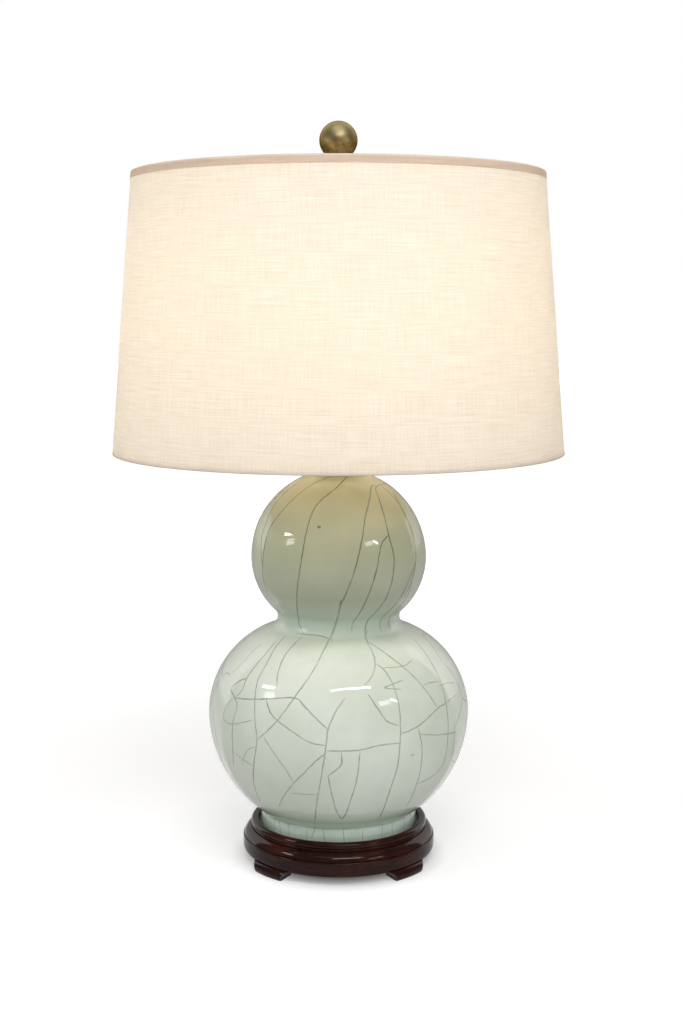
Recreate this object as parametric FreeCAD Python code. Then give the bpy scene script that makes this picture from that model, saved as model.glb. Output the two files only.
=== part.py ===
"""Double gourd table lamp: a crackle-glazed porcelain gourd on a wooden stand, with a harp that
carries a drum shade and a ball finial.

Millimetres, +Z up. The origin is on the lamp's axis at the floor, and the front looks along -Y.
Each piece is built where it sits on the lamp, from the floor up, so every height follows from
the pieces under it.
"""
import FreeCAD, Part
import math
import os

V = FreeCAD.Vector
UP = V(0, 0, 1)

# ---- Driving dimensions ----------------------------------------------------------------------

# Shade: an 18 inch drum shade
SHADE_BOTTOM_R = 228.6
SHADE_TOP_R = 204.9
SHADE_HEIGHT = 277.6
SHADE_RISE = 4.5             # top edge of the shade above the top of its spider washer
FABRIC_WALL = 0.8
LINER_WALL = 0.6
TRIM_WALL = 0.6
TOP_TRIM_BAND = 8.0
BOTTOM_TRIM_BAND = 5.0
TRIM_TURN_IN = 6.0           # how far the trim is turned in over the ring
RING_WIRE_R = 1.6
ARM_WIRE_R = 1.9
ARM_COUNT = 3
ARM_RISE_RUN = 34.0          # length over which an arm rises to the top ring
SPIDER_WASHER_R = 13.0
SPIDER_WASHER_WALL = 1.5

# Stand: turned wood on four bracket feet
APRON_STEP = 8.5             # from the rim's shoulder out to the apron's face
APRON_DRAW_IN = 0.8          # at the apron's lower edge
APRON_WALL = 18.0
APRON_BOTTOM = 10.0
APRON_TOP = 24.3
FOOT_FLARE = 3.6             # of a foot's bulge, beyond the apron's face
FOOT_HALF_ANGLE = 10.25      # degrees
FOOT_COVE_R = 9.0
FOOT_COUNT = 4
BOARD_WALL = 10.2
LIP_GAP = 1.8                # between the porcelain foot and the lip
LIP_R = 4.3
LIP_RISE = 7.3               # above the board
SHOULDER_DROP = 2.0          # below the board's upper face

# Gourd: two round lobes with a soft waist
GASKET_WALL = 1.5
FOOT_RING_R = 81.4
FOOT_RING_WALL = 9.0
FOOT_RING_HEIGHT = 17.4
LOWER_R = 134.6
LOWER_HEIGHT = 119.6         # equator above the foot's lower edge
LOWER_SHOULDER_ARC_R = 93.4
UPPER_R = 89.95
UPPER_HEIGHT = 281.05
UPPER_BELLY_ARC_R = 73.64
WAIST_ARC_R = 11.4
NECK_R = 27.0
NECK_BASE_HEIGHT = 367.0
NECK_HEIGHT = 372.0
GLAZED_WALL = 5.5
GOURD_FLOOR_WALL = 7.0

# Pipe and the fittings threaded on it
PIPE_R = 5.1
PIPE_BORE_R = 3.3
PIPE_BELOW_NUT = 3.0
PIPE_INTO_SOCKET = 7.5
BOTTOM_WASHER_R = 18.0
BOTTOM_WASHER_WALL = 2.0
NUT_ACROSS_FLATS = 16.0
NUT_WALL = 6.0
CAP_SKIRT_WALL = 1.2
CAP_SKIRT_DEPTH = 5.0
CAP_HEIGHT = 8.0             # of the vase cap above the neck's rim
SPACER_HEIGHT = 25.0
SPACER_R = 7.0
SPACER_FLANGE_R = 9.5

# Harp
HARP_HEIGHT = 254.0          # 10 inches from saddle to seat
HARP_FOOT_HALF_SPAN = 28.5
HARP_HALF_WIDTH = 61.0
HARP_WIRE_R = 2.3
HARP_LEG_HEIGHT = 48.0       # straight stretch above the saddle, up to the first bend's point
SADDLE_WALL = 1.5
SADDLE_HALF_WIDTH = 7.0
SADDLE_PIN_HEIGHT = 9.5
FERRULE_HEIGHT = 15.0
FERRULE_WALL = 1.8
FERRULE_ABOVE_SADDLE = 3.0
EYE_R = 7.0
EYE_WALL = 3.0
STUD_R = 3.15                # quarter inch thread
STUD_SEAT_R = 9.5
STUD_SEAT_WALL = 2.0
STUD_HEAD_R = 4.8
STUD_HEAD_WALL = 2.0
STUD_THREAD_HEIGHT = 9.5     # above the shade's washer

# Socket and its turn switch
SOCKET_CAP_HEIGHT = 18.5
SOCKET_HUB_R = 7.6
SOCKET_HUB_HEIGHT = 5.0
SOCKET_HEIGHT = 57.0
BRASS_WALL = 0.8
LINER_CARD_WALL = 0.5
SCREW_SHELL_WALL = 0.5
SCREW_SHELL_GAP = 1.2        # between the screw shell and the card
TERMINAL_ROOM = 2.7          # beside the block, for the terminal screws
SOCKET_BLOCK_BASE = 14.0     # above the socket's lower end, as are the next two
SOCKET_BLOCK_TOP = 29.5
SWITCH_HEIGHT = 23.5
SWITCH_SHAFT_R = 1.6
KNOB_GAP = 3.5               # between the socket and the knob
KNOB_R = 6.6
KNOB_LENGTH = 13.0
KNOB_FLUTES = 12
KNOB_FLUTE_R = 1.1
TERMINAL_HEAD_R = 3.0

# Bulb: medium screw base, 7 threads to the inch
BASE_R = 13.0
THREAD_PITCH = 25.4 / 7
THREAD_COUNT = 5
THREAD_DEPTH = 0.8
BASE_WALL = 0.6
BULB_R = 34.0
BULB_LIGHT_HEIGHT = 98.4     # centre of the globe above the base's contact
GLASS_WALL = 0.9
GLOBE_START_ANGLE = 35.0     # degrees below the equator where the neck's curve meets the globe

# Finial
BALL_R = 19.05
FINIAL_HEIGHT = 56.0
FINIAL_FOOT_R = 9.0
FINIAL_NECK_R = 5.2
FINIAL_TENON_R = 3.4
FINIAL_TENON_HEIGHT = 6.0

# Cord outlet
OUTLET_R = 3.2
OUTLET_WALL = 1.8
OUTLET_FLANGE_R = 6.6
OUTLET_FLANGE_WALL = 1.6

# Clearances
RUNNING = 0.05               # radial, for a turning or sliding fit
LOOSE = 0.2                  # between pieces that drop together
PIPE_HOLE = 1.0              # radial, in wood and porcelain

# ---- Heights, from the floor up --------------------------------------------------------------

BOARD_TOP = APRON_TOP + BOARD_WALL
GOURD_FOOT = BOARD_TOP + GASKET_WALL
LOWER_Z = GOURD_FOOT + LOWER_HEIGHT
UPPER_Z = GOURD_FOOT + UPPER_HEIGHT
NECK_BASE = GOURD_FOOT + NECK_BASE_HEIGHT
NECK_TOP = GOURD_FOOT + NECK_HEIGHT
FOOT_RING_TOP = GOURD_FOOT + FOOT_RING_HEIGHT
CAP_TOP = NECK_TOP + CAP_HEIGHT
SPACER_TOP = CAP_TOP + SPACER_HEIGHT
SADDLE_TOP = SPACER_TOP + SADDLE_WALL
SOCKET_BASE = SADDLE_TOP
SOCKET_TOP = SOCKET_BASE + SOCKET_HEIGHT
SEAT_TOP = SADDLE_TOP + HARP_HEIGHT
WASHER_TOP = SEAT_TOP + SPIDER_WASHER_WALL
SHADE_TOP = WASHER_TOP + SHADE_RISE
SHADE_BOTTOM = SHADE_TOP - SHADE_HEIGHT
FINIAL_TOP = WASHER_TOP + FINIAL_HEIGHT
BALL_Z = FINIAL_TOP - BALL_R
PIN_TOP = SADDLE_TOP + SADDLE_PIN_HEIGHT
CONTACT_Z = SOCKET_BASE + SOCKET_BLOCK_TOP + 1.0
BULB_BASE_Z = CONTACT_Z + LOOSE
GLOBE_Z = BULB_BASE_Z + BULB_LIGHT_HEIGHT
OUTLET_Z = (APRON_BOTTOM + APRON_TOP) / 2

# ---- Radii, from the porcelain foot and the bulb's base outward ------------------------------

LIP_CENTRE_R = FOOT_RING_R + LIP_GAP + LIP_R
LIP_TOP = BOARD_TOP + LIP_RISE
BOARD_R = LIP_CENTRE_R - LIP_R + 1.4
SHOULDER_R = LIP_CENTRE_R + LIP_R - 0.1
SHOULDER_TOP = BOARD_TOP - SHOULDER_DROP
APRON_R = SHOULDER_R + APRON_STEP
APRON_FOOT_R = APRON_R - APRON_DRAW_IN
APRON_INNER_R = APRON_R - APRON_WALL
FOOT_FLARE_R = APRON_R + FOOT_FLARE
BULB_NECK_R = BASE_R + 1.0
SCREW_SHELL_IN_R = BASE_R + 2 * LOOSE
CARD_IN_R = SCREW_SHELL_IN_R + SCREW_SHELL_WALL + SCREW_SHELL_GAP
CARD_OUT_R = CARD_IN_R + LINER_CARD_WALL
SHELL_IN_R = CARD_OUT_R + RUNNING
SHELL_OUT_R = SHELL_IN_R + BRASS_WALL
SOCKET_CAP_R = SHELL_OUT_R + RUNNING + BRASS_WALL
SOCKET_BLOCK_R = CARD_IN_R - TERMINAL_ROOM


# ---- Ways of making a shape ------------------------------------------------------------------


def face_of(start, steps):
    """A flat face in the XZ plane. Each step is a corner (r, z), or (through, end) for an arc."""
    here, edges = start, []
    for step in [*steps, start]:
        if isinstance(step[0], tuple):
            through, end = step
            points = [V(r, 0, z) for r, z in (here, through, end)]
            edges.append(Part.Arc(*points).toShape())
        else:
            end = step
            if math.dist(here, end) < 1e-6:
                continue
            edges.append(Part.LineSegment(V(here[0], 0, here[1]), V(end[0], 0, end[1])).toShape())
        here = end
    return Part.Face(Part.Wire(edges))


def turned(start, *steps, angle=360.0):
    """A solid of revolution about the lamp's axis."""
    return face_of(start, steps).revolve(V(0, 0, 0), UP, angle)


def ring(inner_r, outer_r, low, high):
    """A plain ring or tube about the lamp's axis."""
    body = Part.makeCylinder(outer_r, high - low, V(0, 0, low))
    return body.cut(Part.makeCylinder(inner_r, high - low, V(0, 0, low))) if inner_r else body


def arc_on(centre, radius, first, last):
    """The step that follows a circle from angle first to last, in degrees from +r towards +z."""
    spots = [math.radians(a) for a in ((first + last) / 2, last)]
    return tuple((centre[0] + radius * math.cos(a), centre[1] + radius * math.sin(a)) for a in spots)


def angle_at(centre, point):
    """The direction in degrees from centre to point."""
    return math.degrees(math.atan2(point[1] - centre[1], point[0] - centre[0]))


def towards(start, end, distance):
    """The point at a distance from start on the line to end."""
    share = distance / math.dist(start, end)
    return tuple(a + (b - a) * share for a, b in zip(start, end))


def circles_meet(first, first_r, second, second_r):
    """The outer of the two points where two circles cross."""
    span = math.dist(first, second)
    along = (span**2 + first_r**2 - second_r**2) / (2 * span)
    off = math.sqrt(first_r**2 - along**2)
    foot = towards(first, second, along)
    side = ((second[1] - first[1]) / span, (first[0] - second[0]) / span)
    return max((foot[0] + s * off * side[0], foot[1] + s * off * side[1]) for s in (1, -1))


def arc_radius(equator_r, end_r, height):
    """Radius of the arc that is upright at equator_r and passes through end_r at height."""
    run = equator_r - end_r
    return (run**2 + height**2) / (2 * run)


def wire_along(points, radii, wire_r):
    """A round wire along straight runs, with each inner corner rounded by its radius."""
    spots = [V(*p) for p in points]
    edges, here = [], spots[0]
    for before, corner, after, radius in zip(spots, spots[1:], spots[2:], radii):
        back, onward = (before - corner).normalize(), (after - corner).normalize()
        half = back.getAngle(onward) / 2
        trim = radius / math.tan(half)
        inward = (back + onward).normalize()
        start, end = corner + back * trim, corner + onward * trim
        middle = corner + inward * (radius / math.sin(half) - radius)
        edges.append(Part.LineSegment(here, start).toShape())
        edges.append(Part.Arc(start, middle, end).toShape())
        here = end
    edges.append(Part.LineSegment(here, spots[-1]).toShape())
    section = Part.Wire(Part.makeCircle(wire_r, spots[0], spots[1] - spots[0]))
    return Part.Wire(edges).makePipeShell([section], True, False)


def round_the_axis(shape, count, first=0.0):
    """Copies of a shape at even angles about the lamp's axis."""
    return [shape.rotated(V(0, 0, 0), UP, first + 360.0 * i / count) for i in range(count)]


# ---- Stand -----------------------------------------------------------------------------------


def foot_block():
    """One bulging foot, wide enough for the coves beside it, centred on +X."""
    half = FOOT_HALF_ANGLE + math.degrees(FOOT_COVE_R / APRON_FOOT_R)
    bulge = (FOOT_FLARE_R, 0.35 * APRON_BOTTOM)
    block = turned(
        (APRON_INNER_R, 0.0),
        (APRON_INNER_R, APRON_BOTTOM),
        (APRON_FOOT_R, APRON_BOTTOM),
        (bulge, (FOOT_FLARE_R - 1.6, 0.0)),
        angle=2 * half,
    )
    return block.rotated(V(0, 0, 0), UP, -half)


def arch_cutter():
    """The space between two feet, with coved upper corners, centred on +X."""
    gap = 360.0 / FOOT_COUNT / 2 - FOOT_HALF_ANGLE
    cove = math.degrees(FOOT_COVE_R / APRON_FOOT_R)
    inner, outer = APRON_INNER_R - 1, FOOT_FLARE_R + 5
    spring = APRON_BOTTOM - FOOT_COVE_R
    low, corners = -1.0, []
    for half, high in ((gap, spring), (gap - cove, APRON_BOTTOM)):
        sector = turned((inner, low), (inner, high), (outer, high), (outer, low), angle=2 * half)
        corners.append(sector.rotated(V(0, 0, 0), UP, -half))
    for side in (1, -1):
        round_corner = Part.makeCylinder(FOOT_COVE_R, outer - inner, V(inner, 0, spring), V(1, 0, 0))
        corners.append(round_corner.rotated(V(0, 0, 0), UP, side * (gap - cove)))
    return corners[0].fuse(corners[1:])


def stand_apron():
    """The apron ring with its four bracket feet and the hole for the cord's outlet."""
    band = turned(
        (APRON_INNER_R, APRON_BOTTOM),
        (APRON_INNER_R, APRON_TOP),
        (APRON_R - 1.2, APRON_TOP),
        ((APRON_R - 0.35, APRON_TOP - 0.5), (APRON_R, APRON_TOP - 1.8)),
        (APRON_R, APRON_BOTTOM + 4.0),
        ((APRON_R - 0.3 * APRON_DRAW_IN, APRON_BOTTOM + 1.8), (APRON_FOOT_R, APRON_BOTTOM)),
    )
    half_step = 180.0 / FOOT_COUNT
    body = band.fuse(round_the_axis(foot_block(), FOOT_COUNT, half_step))
    for cutter in round_the_axis(arch_cutter(), FOOT_COUNT):
        body = body.cut(cutter)
    hole_r = OUTLET_R + OUTLET_WALL
    hole = Part.makeCylinder(hole_r, FOOT_FLARE_R, V(0, 0, OUTLET_Z), V(0, 1, 0))
    return body.cut(hole).removeSplitter()


def stand_board():
    """The board that carries the gourd, on the apron's upper face."""
    return ring(PIPE_R + PIPE_HOLE, BOARD_R, APRON_TOP, BOARD_TOP)


def stand_rim():
    """The turned moulding round the board: a round lip, a thin bead and a rounded shoulder."""
    lip_z = LIP_TOP - LIP_R
    lip_out = LIP_CENTRE_R + LIP_R
    lip_in = LIP_CENTRE_R - LIP_R
    bead_z = (SHOULDER_TOP + lip_z) / 2 - 0.5
    groove_r = SHOULDER_R - 1.6
    return turned(
        (BOARD_R, APRON_TOP),
        (BOARD_R, BOARD_TOP),
        (lip_in, BOARD_TOP),
        (lip_in, lip_z),
        ((LIP_CENTRE_R, LIP_TOP), (lip_out, lip_z)),
        ((lip_out - 0.5, lip_z - 1.4), (groove_r, bead_z + 0.9)),
        ((groove_r + 1.2, bead_z), (groove_r, bead_z - 0.9)),
        (groove_r, SHOULDER_TOP),
        (SHOULDER_R, SHOULDER_TOP),
        ((APRON_R - 3.4, SHOULDER_TOP - 3.6), (APRON_R - 1.2, APRON_TOP + 0.9)),
        (APRON_R - 2.2, APRON_TOP + 0.9),
        (APRON_R - 2.2, APRON_TOP),
    )


def cord_bushing(apron):
    """The lined outlet for the cord, at the back of the apron."""
    inner, outer = APRON_INNER_R - 1.0, APRON_R + OUTLET_FLANGE_WALL
    sleeve = Part.makeCylinder(OUTLET_R + OUTLET_WALL, outer - inner, V(0, inner, OUTLET_Z), V(0, 1, 0))
    flange_start = APRON_R - 1.0
    flange = Part.makeCylinder(
        OUTLET_FLANGE_R, outer - flange_start, V(0, flange_start, OUTLET_Z), V(0, 1, 0)
    )
    bore = Part.makeCylinder(OUTLET_R, outer, V(0, inner - 1.0, OUTLET_Z), V(0, 1, 0))
    return sleeve.fuse(flange.cut(apron)).cut(bore).removeSplitter()


# ---- Gourd -----------------------------------------------------------------------------------


def foot_gasket():
    """The felt ring between the porcelain foot and the board."""
    return ring(FOOT_RING_R - FOOT_RING_WALL, FOOT_RING_R - LOOSE, BOARD_TOP, GOURD_FOOT)


def gourd_body():
    """Both lobes, the waist, the neck and the foot ring, hollow, with the pipe's hole below."""
    belly_r = arc_radius(LOWER_R, FOOT_RING_R, LOWER_Z - FOOT_RING_TOP)
    crown_r = arc_radius(UPPER_R, NECK_R, NECK_BASE - UPPER_Z)
    belly = (LOWER_R - belly_r, LOWER_Z)
    shoulder = (LOWER_R - LOWER_SHOULDER_ARC_R, LOWER_Z)
    upper_belly = (UPPER_R - UPPER_BELLY_ARC_R, UPPER_Z)
    crown = (UPPER_R - crown_r, UPPER_Z)
    waist = circles_meet(
        shoulder, LOWER_SHOULDER_ARC_R + WAIST_ARC_R, upper_belly, UPPER_BELLY_ARC_R + WAIST_ARC_R
    )

    def lobes(wall):
        """The steps up the lobes, a wall's thickness inside the glazed surface."""
        low = angle_at(shoulder, waist)
        high = angle_at(upper_belly, waist)
        return (
            arc_on(shoulder, LOWER_SHOULDER_ARC_R - wall, 0, low),
            arc_on(waist, WAIST_ARC_R + wall, low + 180, high + 180),
            arc_on(upper_belly, UPPER_BELLY_ARC_R - wall, high, 0),
        )

    neck_in = NECK_R - GLAZED_WALL
    hole_r = PIPE_R + PIPE_HOLE
    floor_top = FOOT_RING_TOP + GOURD_FLOOR_WALL / 2
    floor_low = floor_top - GOURD_FLOOR_WALL
    foot_in = FOOT_RING_R - FOOT_RING_WALL
    belly_in, crown_in = belly_r - GLAZED_WALL, crown_r - GLAZED_WALL
    floor_angle = -math.degrees(math.asin((LOWER_Z - floor_top) / belly_in))
    neck_angle = math.degrees(math.acos((neck_in - crown[0]) / crown_in))
    outside = turned(
        (0.0, floor_low),
        (foot_in, floor_low),
        (foot_in, GOURD_FOOT),
        (FOOT_RING_R - 1.5, GOURD_FOOT),
        ((FOOT_RING_R - 0.45, GOURD_FOOT + 0.45), (FOOT_RING_R, GOURD_FOOT + 1.5)),
        (FOOT_RING_R, FOOT_RING_TOP - 1.4),
        ((FOOT_RING_R - 0.8, FOOT_RING_TOP - 0.6), (FOOT_RING_R, FOOT_RING_TOP)),
        arc_on(belly, belly_r, angle_at(belly, (FOOT_RING_R, FOOT_RING_TOP)), 0),
        *lobes(0.0),
        arc_on(crown, crown_r, 0, angle_at(crown, (NECK_R, NECK_BASE))),
        (NECK_R, NECK_TOP),
        (0.0, NECK_TOP),
    )
    inner_floor_r = belly[0] + belly_in * math.cos(math.radians(floor_angle))
    hollow = turned(
        (0.0, floor_top),
        (inner_floor_r, floor_top),
        arc_on(belly, belly_in, floor_angle, 0),
        *lobes(GLAZED_WALL),
        arc_on(crown, crown_in, 0, neck_angle),
        (neck_in, NECK_TOP + 1),
        (0.0, NECK_TOP + 1),
    )
    return outside.cut(hollow).cut(Part.makeCylinder(hole_r, GOURD_FLOOR_WALL + 2, V(0, 0, floor_low - 1)))


# ---- Pipe and fittings -----------------------------------------------------------------------


def lamp_pipe():
    """The threaded pipe that clamps the stand, gourd, cap, spacer and saddle together."""
    low = APRON_TOP - BOTTOM_WASHER_WALL - NUT_WALL - PIPE_BELOW_NUT
    return ring(PIPE_BORE_R, PIPE_R, low, SOCKET_BASE + PIPE_INTO_SOCKET)


def bottom_washer():
    return ring(PIPE_R + RUNNING, BOTTOM_WASHER_R, APRON_TOP - BOTTOM_WASHER_WALL, APRON_TOP)


def bottom_nut():
    """The hexagon nut under the board."""
    top = APRON_TOP - BOTTOM_WASHER_WALL
    corner = NUT_ACROSS_FLATS / math.sqrt(3)
    corners = [
        V(corner * math.cos(math.radians(60 * i)), corner * math.sin(math.radians(60 * i)), top - NUT_WALL)
        for i in range(7)
    ]
    prism = Part.Face(Part.makePolygon(corners)).extrude(V(0, 0, NUT_WALL))
    return prism.cut(ring(0, PIPE_R + RUNNING, top - NUT_WALL, top))


def vase_cap():
    """The brass cap on the gourd's neck."""
    skirt_in = NECK_R + LOOSE * 3
    skirt_out = skirt_in + CAP_SKIRT_WALL
    low = NECK_TOP - CAP_SKIRT_DEPTH
    return turned(
        (PIPE_R + RUNNING, NECK_TOP),
        (skirt_in, NECK_TOP),
        (skirt_in, low),
        (skirt_out, low),
        (skirt_out, NECK_TOP - 1.0),
        ((skirt_out - 0.6, NECK_TOP + 0.9), (skirt_out - 2.4, NECK_TOP + 1.6)),
        ((0.62 * skirt_out, NECK_TOP + 2.2), (SPACER_FLANGE_R + 1.5, CAP_TOP - 1.0)),
        (SPACER_FLANGE_R + 0.6, CAP_TOP),
        (PIPE_R + RUNNING, CAP_TOP),
    )


def neck_spacer():
    """The turned brass neck between the cap and the harp's saddle."""
    middle = (CAP_TOP + SPACER_TOP) / 2
    bead = 1.6
    flange = 2.4
    return turned(
        (PIPE_R + RUNNING, CAP_TOP),
        (SPACER_FLANGE_R, CAP_TOP),
        (SPACER_FLANGE_R, CAP_TOP + flange),
        ((SPACER_R + 0.4, CAP_TOP + flange + 1.2), (SPACER_R, CAP_TOP + 2 * flange)),
        (SPACER_R, middle - bead),
        ((SPACER_R + bead, middle), (SPACER_R, middle + bead)),
        (SPACER_R, SPACER_TOP - 2 * flange),
        ((SPACER_R + 0.4, SPACER_TOP - flange - 1.2), (SPACER_FLANGE_R, SPACER_TOP - flange)),
        (SPACER_FLANGE_R, SPACER_TOP),
        (PIPE_R + RUNNING, SPACER_TOP),
    )


# ---- Harp ------------------------------------------------------------------------------------


def harp_saddle():
    """The flat strip under the socket, with an upright pin for each leg of the harp."""
    width = 2 * SADDLE_HALF_WIDTH
    strip = Part.makeBox(
        2 * HARP_FOOT_HALF_SPAN, width, SADDLE_WALL, V(-HARP_FOOT_HALF_SPAN, -width / 2, SPACER_TOP)
    )
    for side in (1, -1):
        foot = V(side * HARP_FOOT_HALF_SPAN, 0, SPACER_TOP)
        strip = strip.fuse(Part.makeCylinder(SADDLE_HALF_WIDTH, SADDLE_WALL, foot))
        strip = strip.fuse(Part.makeCylinder(HARP_WIRE_R, PIN_TOP - SPACER_TOP, foot))
    hole = Part.makeCylinder(PIPE_R + RUNNING, SADDLE_WALL, V(0, 0, SPACER_TOP))
    return strip.cut(hole).removeSplitter()


EYE_TOP = SEAT_TOP - STUD_SEAT_WALL - HARP_WIRE_R
EYE_Z = EYE_TOP - EYE_WALL / 2


def harp_wire():
    """The bowed wire that carries the shade, with a pierced flat eye at its top."""
    foot, wide, top = HARP_FOOT_HALF_SPAN, HARP_HALF_WIDTH, EYE_Z
    leg_z = SADDLE_TOP + HARP_LEG_HEIGHT
    half = (
        (foot, PIN_TOP),
        (foot, leg_z),
        (wide, leg_z + 0.36 * (top - leg_z)),
        (wide, top - 0.26 * (top - leg_z)),
        (0.6 * wide, top),
    )
    radii = (26.0, 95.0, 60.0, 24.0)
    points = [(x, 0, z) for x, z in half] + [(-x, 0, z) for x, z in reversed(half)]
    wire = wire_along(points, radii + radii[::-1], HARP_WIRE_R)
    eye = ring(0, EYE_R, EYE_Z - EYE_WALL / 2, EYE_TOP)
    room = ring(0, EYE_R, EYE_Z - EYE_WALL / 2 - HARP_WIRE_R, EYE_TOP + HARP_WIRE_R)
    bore = ring(0, STUD_R + RUNNING, top - EYE_WALL, top + EYE_WALL)
    return wire.cut(room).fuse(eye).cut(bore).removeSplitter()


def harp_stud():
    """The swivelling seat and threaded stud at the harp's top, riveted through the eye."""
    eye_low = EYE_TOP - EYE_WALL
    low = eye_low - RUNNING - STUD_HEAD_WALL
    return turned(
        (0.0, low),
        (STUD_HEAD_R - 0.6, low),
        (STUD_HEAD_R, low + 0.6),
        (STUD_HEAD_R, eye_low - RUNNING),
        (STUD_R, eye_low - RUNNING),
        (STUD_R, EYE_TOP + RUNNING),
        (STUD_R + 1.6, EYE_TOP + RUNNING),
        (STUD_R + 1.6, SEAT_TOP - STUD_SEAT_WALL),
        (STUD_SEAT_R, SEAT_TOP - STUD_SEAT_WALL),
        (STUD_SEAT_R, SEAT_TOP),
        (STUD_R, SEAT_TOP),
        (STUD_R, WASHER_TOP + STUD_THREAD_HEIGHT - 0.7),
        (STUD_R - 0.7, WASHER_TOP + STUD_THREAD_HEIGHT),
        (0.0, WASHER_TOP + STUD_THREAD_HEIGHT),
    )


def harp_ferrule(side):
    """The sleeve that locks one leg of the harp to its saddle pin."""
    low = SADDLE_TOP + FERRULE_ABOVE_SADDLE
    bore = HARP_WIRE_R + RUNNING
    outer = bore + FERRULE_WALL
    sleeve = turned(
        (bore, low),
        (outer + 0.8, low),
        (outer + 0.8, low + 1.6),
        ((outer + 0.1, low + 2.6), (outer - 0.4, low + 5.0)),
        (outer - 0.4, low + FERRULE_HEIGHT - 0.8),
        (outer - 1.2, low + FERRULE_HEIGHT),
        (bore, low + FERRULE_HEIGHT),
    )
    return sleeve.translated(V(side * HARP_FOOT_HALF_SPAN, 0, 0))


# ---- Socket and switch -----------------------------------------------------------------------

SWITCH_Z = SOCKET_BASE + SWITCH_HEIGHT
KNOB_START = SOCKET_CAP_R + KNOB_GAP
SHAFT_START = 4.0
SHAFT_END = KNOB_START + 0.5 * KNOB_LENGTH
BLOCK_TOP = SOCKET_BASE + SOCKET_BLOCK_TOP


def switch_bore(radius):
    """The hole that the switch's shaft passes through, at the front."""
    return Part.makeCylinder(radius, SHAFT_END, V(0, 0, SWITCH_Z), V(0, -1, 0))


def socket_cap():
    """The brass bowl that screws on the pipe and holds the shell."""
    bowl_z = SOCKET_BASE + SOCKET_HUB_HEIGHT
    rim_z = SOCKET_BASE + SOCKET_CAP_HEIGHT
    turn_z = bowl_z + 0.5 * (rim_z - bowl_z)
    outer, inner, hub = SOCKET_CAP_R, SOCKET_CAP_R - BRASS_WALL, SOCKET_HUB_R
    bend_r, bend_z = hub + 0.72 * (outer - hub), bowl_z + 0.3 * (turn_z - bowl_z)
    bowl = turned(
        (PIPE_R + RUNNING, SOCKET_BASE),
        (hub, SOCKET_BASE),
        (hub, bowl_z),
        ((bend_r, bend_z), (outer, turn_z)),
        (outer, rim_z),
        (inner, rim_z),
        (inner, turn_z),
        ((bend_r - BRASS_WALL * 0.7, bend_z + BRASS_WALL * 0.7), (hub, bowl_z + BRASS_WALL)),
        (PIPE_R + RUNNING, bowl_z + BRASS_WALL),
    )
    hole = Part.makeCylinder(1.5, hub + 1, V(0, 0, SOCKET_BASE + 2.5), V(-1, 0, 0))
    return bowl.cut(hole)


def socket_set_screw():
    """The screw in the cap's hub that keeps the socket from turning on the pipe."""
    length = SOCKET_HUB_R - PIPE_R + 1.8
    screw = Part.makeCylinder(1.5 - RUNNING, length, V(-PIPE_R - RUNNING, 0, SOCKET_BASE + 2.5), V(-1, 0, 0))
    slot = Part.makeBox(0.8, 4.0, 0.7, V(-PIPE_R - RUNNING - length, -2.0, SOCKET_BASE + 2.15))
    return screw.cut(slot)


def socket_shell():
    """The brass shell, with a rolled mouth and the switch's hole."""
    low = SOCKET_BASE + 0.5 * (SOCKET_HUB_HEIGHT + SOCKET_CAP_HEIGHT) + 0.5
    tube = turned(
        (SHELL_IN_R, low),
        (SHELL_OUT_R, low),
        (SHELL_OUT_R, SOCKET_TOP - 2.4),
        ((SHELL_OUT_R + 0.7, SOCKET_TOP - 1.2), (SHELL_OUT_R, SOCKET_TOP)),
        (SHELL_IN_R, SOCKET_TOP),
    )
    return tube.cut(switch_bore(SWITCH_SHAFT_R + 0.8))


def socket_liner():
    """The card sleeve that insulates the shell."""
    low = SOCKET_BASE + SOCKET_BLOCK_BASE
    return ring(CARD_IN_R, CARD_OUT_R, low, SOCKET_TOP - 1.0).cut(switch_bore(SWITCH_SHAFT_R + 0.6))


def socket_block():
    """The moulded block that holds the switch and the terminals, with a wide seat on top."""
    low = SOCKET_BASE + SOCKET_BLOCK_BASE
    seat_r = CARD_IN_R - RUNNING
    block = turned(
        (0.0, low),
        (seat_r, low),
        (seat_r, low + 2.0),
        (SOCKET_BLOCK_R, low + 2.0),
        (SOCKET_BLOCK_R, BLOCK_TOP - 2.5),
        (seat_r, BLOCK_TOP - 2.5),
        (seat_r, BLOCK_TOP),
        (0.0, BLOCK_TOP),
    )
    return block.cut(switch_bore(SWITCH_SHAFT_R + RUNNING))


def terminal_screws():
    """The two terminal screws on the sides of the block."""
    room = CARD_IN_R - SOCKET_BLOCK_R - LOOSE
    heads = []
    for side in (1, -1):
        start = V(side * SOCKET_BLOCK_R, 0, SWITCH_Z - 2.0)
        head = Part.makeCylinder(TERMINAL_HEAD_R, room - 0.4, start, V(side, 0, 0))
        slot_x = side * (SOCKET_BLOCK_R + room - 0.8)
        slot = Part.makeBox(0.8, 8.0, 0.8, V(slot_x - 0.4, -4.0, SWITCH_Z - 2.4))
        heads.append(head.cut(slot))
    return Part.makeCompound(heads)


def screw_shell():
    """The threaded sleeve that the bulb's base turns in."""
    floor = ring(5.2, SCREW_SHELL_IN_R, BLOCK_TOP, BLOCK_TOP + 0.6)
    wall = ring(SCREW_SHELL_IN_R, SCREW_SHELL_IN_R + SCREW_SHELL_WALL, BLOCK_TOP, SOCKET_TOP - 1.5)
    return wall.fuse(floor).removeSplitter()


def center_contact():
    """The brass tongue under the bulb's tip."""
    return ring(0, 4.2, BLOCK_TOP, CONTACT_Z)


def switch_shaft():
    """The switch's shaft, from the block to the knob."""
    start = V(0, -SHAFT_START, SWITCH_Z)
    return Part.makeCylinder(SWITCH_SHAFT_R, SHAFT_END - SHAFT_START, start, V(0, -1, 0))


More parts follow.
